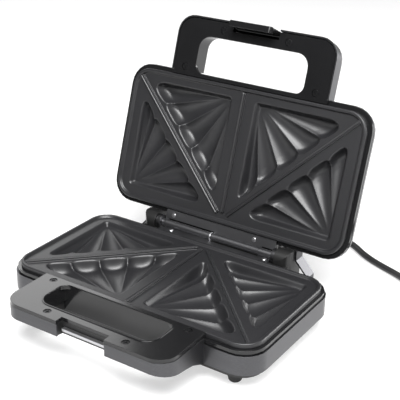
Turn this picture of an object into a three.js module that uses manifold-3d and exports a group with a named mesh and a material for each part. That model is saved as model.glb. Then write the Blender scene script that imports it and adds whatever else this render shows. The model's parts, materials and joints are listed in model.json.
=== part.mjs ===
// Open two-slice sandwich maker with fan-shaped pockets, in millimetres, +Z up.
// Everything is drawn with the lower plate's rim at z = 0 and the middle of the plates at x = y = 0.
// The lid is drawn shut and turned open about its hinge; at the end all of it is set on the ground.
import * as THREE from "three";
import { mergeVertices } from "three/addons/utils/BufferGeometryUtils.js";
import Module from "manifold-3d";

const wasm = await Module();
wasm.setup();

const gap = 0.3;
const shut = 0.4;
const overrun = 12;
const cornerSteps = 6;

const plate = {
  halfX: 124.5, halfY: 64.2, radius: 19, lip: 3, band: -2.2, floor: -4,
  bowlWall: 2.8, bowlMargin: 2.5, bowlRadius: 8, cornerRadius: 4, clear: 1.5,
  frontMargin: 10.2, backMargin: 14.2, midMargin: 12, sideMargin: 13.5, tipMargin: 8.5,
};
const fanShares = { pitch: 0.2442, halfLobe: 0.1442, length: 0.6048, straight: 0.5192, end: 0.149, bowl: 0.692 };
const fan = {
  lobes: 5, first: 1.5, shallow: 4, deep: 11, wallSlope: 2.75,
  lobeSteps: 6, roundSteps: 4, top: 3, lift: 0.3, alongShares: [0, 0.15, 0.5, 1],
};
const fanRoomX = plate.halfX - plate.midMargin - plate.tipMargin;
const fanRoomY = 2 * plate.halfY - plate.frontMargin - plate.backMargin;
fan.size = Math.min(fanRoomX, fanRoomY);
const frontFan = { x: plate.midMargin, y: plate.frontMargin - plate.halfY, scaleShare: 1 };
const backFan = { x: plate.halfX - plate.sideMargin, y: plate.halfY - plate.backMargin, scaleShare: 0.97 };
const ridge = {
  foot: 4.6, crest: 3, sunk: 0.3, high: -0.3, apexInset: 4.2, tipInsetX: 7.5, tipInsetY: 7.2, lipClear: 2.2,
};
ridge.apexY = plate.halfY - ridge.apexInset;
ridge.tipX = plate.halfX - ridge.tipInsetX;
ridge.tipY = ridge.tipInsetY - plate.halfY;
ridge.endInset = plate.lip + ridge.lipClear;
plate.underside = plate.band - fan.deep - plate.bowlWall;

const shell = { sideOver: 4, endOver: 4.3, cornerOver: 2.5, wall: 1.6, low: -26, lip: 1.2 };
shell.halfX = plate.halfX + shell.sideOver;
shell.halfY = plate.halfY + shell.endOver;
shell.radius = plate.radius + shell.cornerOver;
const band = { sideInset: 45, reach: 50.8, radius: 16, wall: 1.5, high: -2.3, overlap: 1.1 };
band.halfX = shell.halfX - band.sideInset;
band.front = -shell.halfY - band.reach;
const undersideShares = [[0, 0], [0.07, 0.1], [0.305, 0.53], [0.48, 0.66], [0.66, 0.76], [1, 1]];
const underHandleRise = 12.5;

const frame = {
  sideInset: 1.2, endInset: 1.3, cornerInset: 0.5, deckInset: 0.5, deckLap: 0.2, webClear: 0.8,
  thick: 3.7, deckHigh: 1.2, skirt: 1.7, skirtDrop: 13, liningRise: 2, high: plate.floor - gap, deckLow: band.high + gap,
  webFront: gap - shell.halfY, cutX: backFan.x + plate.bowlMargin + plate.clear,
  cutFront: frontFan.y - plate.bowlMargin - plate.clear, cutBack: backFan.y + plate.bowlMargin + plate.clear,
  cutRadius: plate.cornerRadius + plate.clear,
};
frame.halfX = shell.halfX - frame.sideInset;
frame.halfY = shell.halfY - frame.endInset;
frame.radius = shell.radius - frame.cornerInset;
frame.deckHalfX = band.halfX - frame.deckInset;
frame.deckFront = band.front - frame.deckLap;
frame.webBack = -plate.halfY - frame.webClear;
frame.low = frame.high - frame.thick;
shell.high = frame.low - gap;

const lidBand = {
  low: frame.deckHigh + gap, high: 15, radius: 17, lap: 2.2, drawIn: 2.6, sideDrawIn: 0.5, overlap: 2,
};
lidBand.front = band.front - lidBand.lap;
const lidFrame = {
  inset: 0.2, low: shut - plate.floor + gap, thick: 3.6, deckLow: 1.8, deckHigh: 5, skirtHigh: 18.5,
};
lidFrame.halfX = shell.halfX - lidFrame.inset;
lidFrame.halfY = shell.halfY - lidFrame.inset;
lidFrame.high = lidFrame.low + lidFrame.thick;
const lidShell = {
  low: lidFrame.high + gap, upright: 0.4, inset: 24, rise: 18, edgeSteps: 5, crownXShare: 0.48, crownYShare: 0.3,
  crownRise: 1.6, crownRadius: 8, edgeRadius: 9.5,
};
lidShell.shoulder = lidShell.low + lidShell.upright;
lidShell.crown = lidShell.shoulder + lidShell.rise + lidShell.crownRise;

const gripLift = 0.7;
const lidGrip = { shoulder: 3, shoulderIn: 1.6, top: 4.3, topIn: 5 };
const lidGripLevels = [
  [lidFrame.deckHigh + gap, 0], [lidBand.high - gap, 0],
  [lidBand.high + lidGrip.shoulder, lidGrip.shoulderIn], [lidBand.high + lidGrip.top, lidGrip.topIn],
];
const latch = {
  halfX: 23.4, sideClear: 0.9, backClear: 0.7, inset: 3.8, z: 8, barrel: 2.8, bore: 1.85, pin: 1.5, pinSeat: 2.7,
  thick: 2.3, standOff: 0.8, hookUnder: 2, hookClear: 0.5, hook: 3, lip: 0.7, lipHeight: 2, above: 6,
  corner: 0.6, blunt: 5, release: 8, roof: 8.7,
};
latch.y = band.front + latch.inset;
const notch = { halfX: latch.halfX + latch.sideClear, front: band.front - overrun };
notch.back = latch.y + latch.barrel + latch.backClear;
const strike = { sideInset: 2.3, reach: 3.3, low: -9.5, thick: 2.5 };
strike.halfX = notch.halfX - strike.sideInset;
strike.front = notch.back - gap - strike.reach;
const opening = { sideWall: 26, frontWall: 8, back: -shell.halfY, frontRadius: 12, backRadius: 8 };
opening.halfX = band.halfX - opening.sideWall;
opening.front = notch.back + opening.frontWall;
opening.baseBack = opening.back - gap - frame.skirt;

const hinge = {
  setBack: 9.5, z: shut, opening: 107.75, pin: 2, pinSeat: 2, bore: 2.35, barrel: 3.6, sides: 16,
  collar: 7, collarRoom: 5, leaf: 1.6, plateClear: 0.8, leafClear: 0.9, tabBite: 1,
  boss: 5, splitShares: [-1, -0.938, -0.078, 0.766, 1],
};
hinge.y = shell.halfY + hinge.setBack;
hinge.leafFront = plate.halfY + hinge.plateClear;
hinge.leafBack = hinge.y - hinge.barrel - hinge.leafClear;
hinge.baseLeafLow = frame.high + gap;
hinge.lidLeafLow = lidFrame.low - gap - hinge.leaf;

const housing = {
  sideInset: 49, front: shell.halfY + gap, deep: 26.2, low: shell.low, bar: hinge.baseLeafLow - gap, wall: 3,
  rail: 2.2, roof: 4.5, hollowInset: 4, towerWide: 13.5, towerBulge: 0.6, towerFlat: 4, corner: 9, boreEnd: 0.5,
  roundClear: 0.2,
};
housing.halfX = shell.halfX - housing.sideInset;
housing.back = housing.front + housing.deep;
housing.towerInner = housing.halfX - housing.towerWide;
housing.towerOuter = housing.halfX + housing.towerBulge;
hinge.end = housing.towerInner - hinge.collarRoom;
hinge.halfLeaf = hinge.end - gap;
hinge.pinHalf = housing.towerInner + hinge.pinSeat;
const cheek = {
  inner: housing.towerOuter + gap, wall: 1.5, lap: 11, proud: 1, top: 12, knee: -2, flare: 14, flareZ: -16,
  footClear: 2,
};
cheek.front = housing.back - cheek.lap;
cheek.back = housing.back + cheek.proud;
cheek.low = housing.low + cheek.footClear;

const ground = -42;
const cover = {
  sideInset: 4.5, endInset: 3.5, radius: shell.radius - shell.wall, wall: 2, drop: 5, floorThick: 2.5, lap: 2,
  tabInset: 1, tabLap: 5, tabHigh: shell.low - gap, tabRadius: 8, post: 3, postYShare: 0.58, bossXShare: 0.71,
  bossYShare: 0.52, sides: 8,
};
cover.halfX = shell.halfX - cover.sideInset;
cover.halfY = shell.halfY - cover.endInset;
cover.low = shell.low - cover.drop;
cover.floor = cover.low + cover.floorThick;
cover.high = shell.low + cover.lap;
cover.tabHalfX = housing.halfX - cover.tabInset;
cover.tabBack = housing.back - cover.tabInset;
const slot = { half: 16, radius: 2, pitchX: 52, pitchY: 36, rows: 2, columns: 4, steps: 2 };
const foot = {
  top: 7.5, toe: 5.5, chamfer: 1.3, frontInsetX: 20.5, frontInsetY: 12, backInsetX: 16, backInsetY: 10, sides: 16,
};
foot.frontX = cover.halfX - foot.frontInsetX;
foot.frontY = foot.frontInsetY - cover.halfY;
foot.backX = cover.tabHalfX - foot.backInsetX;
foot.backY = cover.tabBack - foot.backInsetY;
const reflector = { insetX: 24.5, insetY: 22.5, radius: 14, wall: 0.8, rim: 3.9, clear: 1.6 };
reflector.halfX = shell.halfX - reflector.insetX;
reflector.halfY = shell.halfY - reflector.insetY;
const element = { radius: 3.25, insetX: 9, insetY: 8, end: 14, bend: 16, sides: 8, steps: 52 };
element.halfX = reflector.halfX - element.insetX;
element.halfY = reflector.halfY - element.insetY;
element.z = plate.underside - gap - element.radius;
reflector.low = element.z - element.radius - reflector.clear;
const thermostat = { y: 20, flange: 8, body: 6.5, flangeThick: 1.3, drop: 7.4, sides: 16 };
const fuse = { y: -20, radius: 1.9, lead: 0.6, half: 6, leadHalf: 14, sides: 10 };
const terminal = {
  x: 40, halfX: 12, trayClear: 8, back: cover.halfY - cover.wall - 2 * gap, low: cover.floor + gap,
  height: 13.2, hole: 1.6, pitch: 8,
};
terminal.front = reflector.halfY + terminal.trayClear;

const screw = {
  head: 3, headHigh: 1.4, recess: 2.2, recessRadius: 3.4, shank: 1.3, bore: 1.75, length: 5,
  slot: 0.8, slotDepth: 0.9, slotHalf: 2, sides: 12,
};
const screwInsets = {
  notch: 15.7, deckFront: 7.7, bandSide: 13.5, shellFront: 2.1,
  lidNotch: 9.7, lidBandFront: 7.8, lidBandSide: 14, lidShellFront: 3.9,
};
const screwRows = {
  frontX: notch.halfX + screwInsets.notch, front: frame.deckFront + screwInsets.deckFront,
  backX: band.halfX - screwInsets.bandSide, back: -shell.halfY - screwInsets.shellFront,
  lidFrontX: notch.halfX + screwInsets.lidNotch, lidFront: band.front + screwInsets.lidBandFront,
  lidBackX: band.halfX - screwInsets.lidBandSide, lidBack: -shell.halfY - screwInsets.lidShellFront,
};
const baseScrews = [
  [-screwRows.frontX, screwRows.front], [screwRows.frontX, screwRows.front],
  [-screwRows.backX, screwRows.back], [screwRows.backX, screwRows.back],
];
const lidScrews = [
  [-screwRows.lidFrontX, screwRows.lidFront], [screwRows.lidFrontX, screwRows.lidFront],
  [-screwRows.lidBackX, screwRows.lidBack], [screwRows.lidBackX, screwRows.lidBack],
];
const rivet = {
  head: 2.6, crown: 1.1, crownShare: 0.75, shank: 1.2, bore: 1.6, length: 4, lidOver: 1.3, sides: 10,
};
const rivetRows = { baseY: (housing.front + hinge.leafBack) / 2, lidY: lidFrame.halfY + rivet.lidOver };
const rivetShares = { base: [-0.77, 0.918], lid: [-0.852, 0.623] };
const baseRivets = rivetShares.base.map((share) => [share * hinge.end, rivetRows.baseY]);
const lidRivets = rivetShares.lid.map((share) => [share * hinge.end, rivetRows.lidY]);
const lamp = {
  x: 10, frontInset: 30.5, radius: 3, bore: 3.4, low: shut - reflector.low + gap, sunk: 0.4, crown: 1.2,
  sides: 14,
};
lamp.y = lamp.frontInset - shell.halfY;
lamp.dome = lidShell.crown - lamp.sunk;

const cord = { radius: 3.2, sides: 10, steps: 18 };
const relief = { x: 40, z: -20, flange: 6.5, flangeLength: 2.5, root: 5.5, tip: 4.2, length: 30, sides: 14 };
const route = [
  [40, 125.6, -20], [40, 133, -20.2], [39.8, 143, -21.8], [39.3, 153, -25.2], [38.8, 163, -29.4],
  [38.4, 172, -33.2], [38.2, 179.6, -35.7], [38.2, 186.9, -37.2], [39.3, 194.6, -38.1],
  [42.5, 201.7, -38.5], [47.5, 207.7, -38.6], [53.9, 212.1, -38.6], [61.3, 214.5, -38.6],
  [69.1, 214.7, -38.6], [76.7, 212.9, -38.6], [83.4, 209, -38.6], [89.8, 204.1, -38.6],
  [96.4, 198.9, -38.6], [104, 194, -38.6], [112.5, 189.6, -38.6], [126.8, 183.4, -38.5],
  [142.4, 177, -38],
];
const tie = { angle: 60, clearance: 0.5, wall: 0.8, halfWidth: 3, radius: 3, float: 0.2 };
const coil = {
  x: 189, y: 202, outer: 39, pitch: 7.2, turns: 3, entry: -108, exit: -90, stepsPerTurn: 24,
  sides: 6, straight: 6.4, tail: 26, approach: 14, liftTurns: 0.25,
};
coil.z = ground + tie.float + tie.wall + tie.clearance + cord.radius;
coil.total = coil.turns + (coil.exit - coil.entry) / 360;
const plug = {
  sleeve: 5, sleeveTip: 3.9, sleeveLength: 20, length: 46, halfWidth: 24, height: 22, radius: 9, steps: 4,
  pinLength: 22.7, pinThick: 4, pinWide: 6.4, earthLong: 8, pinX: 13, pinY: 11, earthX: 35, bury: 1, sides: 14,
};

// shapes and solids

/** Points round a closed outline given as [x, y, corner radius], counterclockwise. */
function outline(corners, steps = cornerSteps) {
  const points = [];
  corners.forEach(([x, y, radius], i) => {
    const corner = new THREE.Vector2(x, y);
    if (radius === 0) {
      points.push(corner);
      return;
    }
    const before = corners[(i + corners.length - 1) % corners.length];
    const after = corners[(i + 1) % corners.length];
    const toBefore = new THREE.Vector2(before[0], before[1]).sub(corner).normalize();
    const toAfter = new THREE.Vector2(after[0], after[1]).sub(corner).normalize();
    const half = Math.acos(toBefore.dot(toAfter)) / 2;
    const middle = toBefore.clone().add(toAfter).normalize();
    const centre = corner.clone().addScaledVector(middle, radius / Math.sin(half));
    const start = corner.clone().addScaledVector(toBefore, radius / Math.tan(half)).sub(centre);
    const turn = (Math.PI - 2 * half) * Math.sign(toAfter.cross(toBefore));
    for (let k = 0; k <= steps; k += 1) {
      points.push(start.clone().rotateAround(new THREE.Vector2(), (turn * k) / steps).add(centre));
    }
  });
  return points;
}

/** A rounded rectangle about x = 0 between two y values, with its front and back corner radii. */
function box(halfX, front, back, frontRadius, backRadius = frontRadius, steps = cornerSteps) {
  return outline([
    [-halfX, front, frontRadius], [halfX, front, frontRadius], [halfX, back, backRadius], [-halfX, back, backRadius],
  ], steps);
}

/** An upright prism on an outline. */
function prism(points, low, high) {
  const geometry = new THREE.ExtrudeGeometry(new THREE.Shape(points), { depth: high - low, bevelEnabled: false });
  return geometry.translate(0, 0, low);
}

/** A prism along x whose outline is given as y and z. */
function sidePrism(points, left, right) {
  const geometry = new THREE.ExtrudeGeometry(new THREE.Shape(points), { depth: right - left, bevelEnabled: false });
  const alongX = new THREE.Matrix4().makeBasis(
    new THREE.Vector3(0, 1, 0), new THREE.Vector3(0, 0, 1), new THREE.Vector3(1, 0, 0),
  );
  return geometry.applyMatrix4(alongX).translate(left, 0, 0);
}

/** A plain block between two corners. */
function block([x0, y0, z0], [x1, y1, z1]) {
  const geometry = new THREE.BoxGeometry(x1 - x0, y1 - y0, z1 - z0);
  return geometry.translate((x0 + x1) / 2, (y0 + y1) / 2, (z0 + z1) / 2);
}

/** A closed geometry from points and triangles, wound so that its faces point out. */
function closed(points, triangles) {
  let volume = 0;
  for (const [a, b, c] of triangles) {
    volume += points[a].dot(points[b].clone().cross(points[c]));
  }
  const wound = volume < 0 ? triangles.map(([a, b, c]) => [a, c, b]) : triangles;
  const geometry = new THREE.BufferGeometry();
  geometry.setAttribute("position", new THREE.Float32BufferAttribute(points.flatMap((p) => p.toArray()), 3));
  geometry.setIndex(wound.flat());
  return geometry;
}

/** Rings of points, all with the same count, skinned from first to last and capped at both ends. */
function skin(rings) {
  const count = rings[0].length;
  const triangles = [];
  for (let r = 0; r + 1 < rings.length; r += 1) {
    for (let i = 0; i < count; i += 1) {
      const a = r * count + i;
      const b = r * count + ((i + 1) % count);
      triangles.push([a, b, a + count], [b, b + count, a + count]);
    }
  }
  const last = (rings.length - 1) * count;
  for (let i = 1; i + 1 < count; i += 1) {
    triangles.push([0, i + 1, i], [last, last + i, last + i + 1]);
  }
  return closed(rings.flat(), triangles);
}

/** A stack of level outlines, each with its own height, skinned into a solid. */
function stack(levels) {
  return skin(levels.map(({ points, z }) => points.map((p) => new THREE.Vector3(p.x, p.y, z))));
}

/** A turned piece about the z axis from [radius, z] pairs, bottom to top. */
function turned(profile, sides) {
  const points = profile.map(([radius, z]) => new THREE.Vector2(radius, z));
  return new THREE.LatheGeometry(points, sides).rotateX(Math.PI / 2);
}

/** A round bar along x. */
function bar(radius, left, right, y, z, sides) {
  const geometry = new THREE.CylinderGeometry(radius, radius, right - left, sides);
  return geometry.rotateZ(Math.PI / 2).translate((left + right) / 2, y, z);
}

/** An upright round bar. */
function post(radius, x, y, low, high, sides) {
  return new THREE.CylinderGeometry(radius, radius, high - low, sides)
    .rotateX(Math.PI / 2).translate(x, y, (low + high) / 2);
}

/** The same shape mirrored by a scale of -1 along one axis. */
function reflected(geometry, scaleX, scaleZ) {
  const loose = geometry.index ? geometry.toNonIndexed() : geometry.clone();
  const position = loose.scale(scaleX, 1, scaleZ).attributes.position;
  const points = [];
  for (let i = 0; i < position.count; i += 1) {
    points.push(new THREE.Vector3().fromBufferAttribute(position, i));
  }
  const triangles = [];
  for (let i = 0; i < position.count; i += 3) {
    triangles.push([i, i + 1, i + 2]);
  }
  return closed(points, triangles);
}

/** The same shape on the other side of the middle. */
function flipped(geometry) {
  return reflected(geometry, -1, 1);
}

/** The other plate's version: mirrored across the middle of the shut seam. */
function mirrored(geometry) {
  return reflected(geometry, 1, -1).translate(0, 0, shut);
}

/** A manifold solid from a closed geometry. */
function solid(geometry) {
  const bare = geometry.clone();
  bare.deleteAttribute("normal");
  bare.deleteAttribute("uv");
  const welded = mergeVertices(bare);
  const vertProperties = new Float32Array(welded.attributes.position.array);
  const triVerts = new Uint32Array(welded.index.array);
  return new wasm.Manifold(new wasm.Mesh({ numProp: 3, vertProperties, triVerts }));
}

/** The first geometry joined with some and cut by others. */
function carve(first, { add = [], cut = [] }) {
  let result = solid(first);
  for (const geometry of add) {
    result = result.add(solid(geometry));
  }
  for (const geometry of cut) {
    result = result.subtract(solid(geometry));
  }
  const mesh = result.getMesh();
  const geometry = new THREE.BufferGeometry();
  geometry.setAttribute("position", new THREE.BufferAttribute(new Float32Array(mesh.vertProperties), 3));
  geometry.setIndex(new THREE.BufferAttribute(new Uint32Array(mesh.triVerts), 1));
  return geometry;
}

/** The part of a geometry that lies inside another. */
function within(first, second) {
  const mesh = solid(first).intersect(solid(second)).getMesh();
  const geometry = new THREE.BufferGeometry();
  geometry.setAttribute("position", new THREE.BufferAttribute(new Float32Array(mesh.vertProperties), 3));
  geometry.setIndex(new THREE.BufferAttribute(new Uint32Array(mesh.triVerts), 1));
  return geometry;
}

/** A smooth tube through a path, closed at both ends. */
function tube(path, radius, sides, steps) {
  const section = new THREE.Shape();
  for (let i = 0; i < sides; i += 1) {
    const angle = (2 * Math.PI * i) / sides;
    const point = [radius * Math.cos(angle), radius * Math.sin(angle)];
    if (i === 0) {
      section.moveTo(...point);
    } else {
      section.lineTo(...point);
    }
  }
  return new THREE.ExtrudeGeometry(section, { extrudePath: path, steps, bevelEnabled: false });
}

// finishes

const finishes = {
  coating: { color: 0x454547, roughness: 0.38, metalness: 0.3 },
  steel: { color: 0x9b9c9e, roughness: 0.35, metalness: 1 },
  bright: { color: 0xb9babb, roughness: 0.25, metalness: 1 },
  aluminised: { color: 0xb2b3b3, roughness: 0.4, metalness: 1 },
  glossBlack: { color: 0x141414, roughness: 0.2, metalness: 0 },
  satinBlack: { color: 0x232322, roughness: 0.55, metalness: 0 },
  rubber: { color: 0x2a2a2a, roughness: 0.85, metalness: 0 },
  ceramic: { color: 0xe6e2d8, roughness: 0.6, metalness: 0 },
  red: { color: 0xb8231c, roughness: 0.2, metalness: 0 },
  green: { color: 0x2b9a4a, roughness: 0.2, metalness: 0 },
};

/** One named piece in its finish. */
function piece(name, geometry, finish) {
  const mesh = new THREE.Mesh(geometry, new THREE.MeshStandardMaterial(finishes[finish]));
  mesh.name = name;
  return mesh;
}

// plates

/** Width share of the lobe cross-section: 1 on its centre line, less towards its sides. */
function lobeWidth(t) {
  return Math.sqrt(1 - t * t);
}

/** Where each column of the fan's grid runs: its angle share and its place across its lobe. */
function fanColumns() {
  const edge = fanShares.pitch / 2 / fanShares.halfLobe;
  const columns = [];
  for (let lobe = 0; lobe < fan.lobes; lobe += 1) {
    const centre = (lobe - (fan.lobes - 1) / 2) * fanShares.pitch;
    const lastStep = lobe === fan.lobes - 1 ? fan.lobeSteps : fan.lobeSteps - 1;
    for (let i = 0; i <= lastStep; i += 1) {
      const t = edge * ((2 * i) / fan.lobeSteps - 1);
      const angleShare = THREE.MathUtils.clamp((centre + t * fanShares.halfLobe) / fanShares.length, -1, 1);
      columns.push({ angleShare, t });
    }
  }
  return columns;
}

/** How far out and how deep one column is at a step: along the flute first, then round its bowl end. */
function fanPoint({ angleShare, t }, step) {
  const width = lobeWidth(t);
  const straight = fanShares.straight * fan.size;
  const alongSteps = fan.alongShares.length;
  let reach = 0;
  let depth = 0;
  if (step < alongSteps) {
    reach = THREE.MathUtils.lerp(fan.first, straight, fan.alongShares[step]);
    const along = reach / straight;
    depth = THREE.MathUtils.lerp(fan.shallow, fan.deep, along) - fan.deep * along * (1 - width);
  } else {
    const angle = ((step - alongSteps + 1) / fan.roundSteps) * (Math.PI / 2);
    reach = straight + fanShares.end * fan.size * width * Math.sin(angle);
    depth = fan.deep * width * Math.cos(angle);
  }
  const wall = (fan.wallSlope * reach * (1 - Math.abs(angleShare))) / Math.SQRT2;
  return { reach, depth: Math.min(depth, wall) };
}

/** The hollow of one fan-shaped pocket as a solid to cut away; side and way are +1 or -1. */
function fanHollow(place, side, way) {
  const steps = fan.alongShares.length + fan.roundSteps;
  const columns = fanColumns();
  const floor = [];
  const roof = [];
  for (let step = 0; step < steps; step += 1) {
    for (const column of columns) {
      const { reach, depth } = fanPoint(column, step);
      const across = (place.scaleShare * reach * (1 + column.angleShare)) / Math.SQRT2;
      const along = (place.scaleShare * reach * (1 - column.angleShare)) / Math.SQRT2;
      const x = side * (place.x + way * across);
      const y = place.y + way * along;
      const drop = depth < fan.lift ? -fan.lift : place.scaleShare * depth;
      floor.push(new THREE.Vector3(x, y, plate.band - drop));
      roof.push(new THREE.Vector3(x, y, fan.top));
    }
  }
  return sheets(floor, roof, columns.length, steps);
}

/** Two matching grids of points closed into one solid. */
function sheets(floor, roof, columns, rows) {
  const triangles = [];
  const offset = floor.length;
  const at = (row, column) => row * columns + column;
  for (let r = 0; r + 1 < rows; r += 1) {
    for (let c = 0; c + 1 < columns; c += 1) {
      const [a, b, d, e] = [at(r, c), at(r, c + 1), at(r + 1, c), at(r + 1, c + 1)];
      triangles.push([a, b, e], [a, e, d]);
      triangles.push([offset + a, offset + e, offset + b], [offset + a, offset + d, offset + e]);
    }
  }
  const rim = [];
  for (let c = 0; c + 1 < columns; c += 1) {
    rim.push(at(0, c));
  }
  for (let r = 0; r + 1 < rows; r += 1) {
    rim.push(at(r, columns - 1));
  }
  for (let c = columns - 1; c > 0; c -= 1) {
    rim.push(at(rows - 1, c));
  }
  for (let r = rows - 1; r > 0; r -= 1) {
    rim.push(at(r, 0));
  }
  rim.forEach((a, i) => {
    const b = rim[(i + 1) % rim.length];
    triangles.push([b, a, offset + a], [b, offset + a, offset + b]);
  });
  return closed([...floor, ...roof], triangles);
}

/** The cast bulge under one pocket: a triangle round it with blunt tips. */
function fanUnderside(place, side, way) {
  const margin = plate.bowlMargin;
  const tip = place.scaleShare * fanShares.bowl * fan.size * Math.SQRT2 + margin;
  const corners = [
    [-margin, -margin, plate.cornerRadius], [tip, -margin, plate.bowlRadius], [-margin, tip, plate.bowlRadius],
  ];
  const placed = corners.map(([a, b, r]) => [side * (place.x + way * a), place.y + way * b, r]);
  const ordered = side > 0 ? placed : placed.reverse();
  return prism(outline(ordered), plate.underside, plate.floor);
}

/** A straight sealing ridge between two points, with sloping sides. */
function sealRidge(start, end) {
  const from = new THREE.Vector3(start[0], start[1], 0);
  const to = new THREE.Vector3(end[0], end[1], 0);
  const along = to.clone().sub(from);
  const low = plate.band - ridge.sunk;
  const section = new THREE.Shape([
    new THREE.Vector2(-ridge.foot / 2, low), new THREE.Vector2(ridge.foot / 2, low),
    new THREE.Vector2(ridge.crest / 2, ridge.high), new THREE.Vector2(-ridge.crest / 2, ridge.high),
  ]);
  const geometry = new THREE.ExtrudeGeometry(section, { depth: along.length(), bevelEnabled: false });
  const forward = along.normalize();
  const up = new THREE.Vector3(0, 0, 1);
  const across = up.clone().cross(forward);
  return geometry.applyMatrix4(new THREE.Matrix4().makeBasis(across, up, forward).setPosition(from));
}

/** The lower grill plate: lip, recessed band, ridges, four fans and their cast undersides. */
function lowerPlate() {
  const outer = box(plate.halfX, -plate.halfY, plate.halfY, plate.radius);
  const innerX = plate.halfX - plate.lip;
  const innerY = plate.halfY - plate.lip;
  const inner = box(innerX, -innerY, innerY, plate.radius - plate.lip);
  const dividerEnd = plate.halfY - ridge.endInset + plate.lip;
  const sides = [-1, 1];
  const slab = carve(prism(outer, plate.floor, 0), { cut: [prism(inner, plate.band, fan.top)] });
  return carve(slab, {
    add: [
      ...sides.map((side) => sealRidge([0, ridge.apexY], [side * ridge.tipX, ridge.tipY])),
      sealRidge([0, -dividerEnd], [0, ridge.apexY - ridge.foot / 2]),
      ...sides.map((side) => fanUnderside(frontFan, side, 1)),
      ...sides.map((side) => fanUnderside(backFan, side, -1)),
    ],
    cut: [
      ...sides.map((side) => fanHollow(frontFan, side, 1)),
      ...sides.map((side) => fanHollow(backFan, side, -1)),
    ],
  });
}

// what lies under a plate

/** The sheathed heating element: one loop under the pockets with its two ends at the back. */
function heatingElement() {
  const { radius, halfX, halfY, end, bend, z } = element;
  const corners = [
    [-end, halfY], [-halfX, halfY], [-halfX, -halfY], [halfX, -halfY], [halfX, halfY], [end, halfY],
  ].map(([x, y]) => new THREE.Vector3(x, y, z));
  const path = new THREE.CurvePath();
  let from = corners[0];
  for (let i = 1; i + 1 < corners.length; i += 1) {
    const corner = corners[i];
    const start = corner.clone().add(corners[i - 1].clone().sub(corner).setLength(bend));
    const finish = corner.clone().add(corners[i + 1].clone().sub(corner).setLength(bend));
    path.add(new THREE.LineCurve3(from, start));
    path.add(new THREE.QuadraticBezierCurve3(start, corner, finish));
    from = finish;
  }
  path.add(new THREE.LineCurve3(from, corners[corners.length - 1]));
  return tube(path, radius, element.sides, element.steps);
}

/** The shallow heat reflector tray beyond the element. */
function reflectorTray() {
  const { halfX, halfY, radius, low, wall, rim } = reflector;
  const outer = box(halfX, -halfY, halfY, radius);
  const inner = box(halfX - wall, wall - halfY, halfY - wall, radius - wall);
  return carve(prism(outer, low, low + rim), { cut: [prism(inner, low + wall, low + rim + wall)] });
}

/** The thermostat's stepped round can under the plate. */
function thermostatCan() {
  const { flange, body, flangeThick, drop, sides } = thermostat;
  const high = plate.floor - gap;
  const step = high - flangeThick;
  const low = high - drop;
  const profile = [[0, low], [body, low], [body, step], [flange, step], [flange, high], [0, high]];
  return turned(profile, sides).translate(0, thermostat.y, 0);
}

/** The thermal fuse: a small can with a lead out of each end, along y. */
function fuseCan() {
  const { y, radius, lead, half, leadHalf, sides } = fuse;
  const profile = [
    [0, -leadHalf], [lead, -leadHalf], [lead, -half], [radius, -half],
    [radius, half], [lead, half], [lead, leadHalf], [0, leadHalf],
  ];
  return turned(profile, sides).rotateX(-Math.PI / 2).translate(0, y, plate.floor - gap - radius);
}

/** The mains terminal block with its three wire holes. */
function terminalBlock() {
  const { x, halfX, front, back, low, height, hole, pitch } = terminal;
  const high = low + height;
  const middle = (front + back) / 2;
  const holes = [-1, 0, 1].map((k) => post(hole, x + k * pitch, middle, low - gap, high + gap, fuse.sides));
  return carve(block([x - halfX, front, low], [x + halfX, back, high]), { cut: holes });
}

// screws, rivets and feet

/** A cross-slotted screw sunk below a face at height z, its head towards +z. */
function screwShape(x, y, z) {
  const { head, headHigh, recess, shank, length, slot: width, slotDepth, slotHalf, sides } = screw;
  const under = z - recess + gap;
  const top = under + headHigh;
  const profile = [[0, under - length], [shank, under - length], [shank, under], [head, under], [head, top], [0, top]];
  const slots = [
    block([x - slotHalf, y - width / 2, top - slotDepth], [x + slotHalf, y + width / 2, top + gap]),
    block([x - width / 2, y - slotHalf, top - slotDepth], [x + width / 2, y + slotHalf, top + gap]),
  ];
  return carve(turned(profile, sides).translate(x, y, 0), { cut: slots });
}

/** The stepped hole that a screw sits in. */
function screwHole(x, y, z) {
  const { recess, recessRadius, bore, length, sides } = screw;
  const wide = post(recessRadius, x, y, z - recess, z + gap, sides);
  return carve(wide, { add: [post(bore, x, y, z - recess - length - gap, z, sides)] });
}

/** A domed rivet whose head sits on a face at height z and points up. */
function rivetShape(x, y, z) {
  const { head, crown, crownShare, shank, length, sides } = rivet;
  const base = z + gap;
  const profile = [
    [0, base - length], [shank, base - length], [shank, base], [head, base],
    [head * crownShare, base + crown * crownShare], [0, base + crown],
  ];
  return turned(profile, sides).translate(x, y, 0);
}

/** The hole that a rivet's shank passes. */
function rivetHole(x, y, z) {
  return post(rivet.bore, x, y, z - rivet.length - gap, z + gap, rivet.sides);
}

/** A tapered rubber foot standing on the ground. */
function footShape(x, y) {
  const { top, toe, chamfer } = foot;
  const high = cover.low - gap;
  const profile = [[0, ground], [toe - chamfer, ground], [toe, ground + chamfer], [top, high], [0, high]];
  return turned(profile, foot.sides).translate(x, y, 0);
}

// handles, frames and shells

/** The hand opening's outline, back to a given y. */
function openingOutline(back) {
  const { halfX, front, frontRadius, backRadius } = opening;
  return box(halfX, front, back, frontRadius, backRadius);
}

/** The back wall of the base's lining, in front of the shell's wall and nearly as deep. */
function liningBack() {
  const halfX = opening.halfX + frame.skirt;
  const { baseBack } = opening;
  const low = shell.low + frame.liningRise;
  return block([-halfX, baseBack, low], [halfX, baseBack + frame.skirt, frame.deckHigh]);
}

/** The box that the latch works in, cut from whatever is there. */
function latchNotch(low, high) {
  return block([-notch.halfX, notch.front, low], [notch.halfX, notch.back, high]);
}

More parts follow.
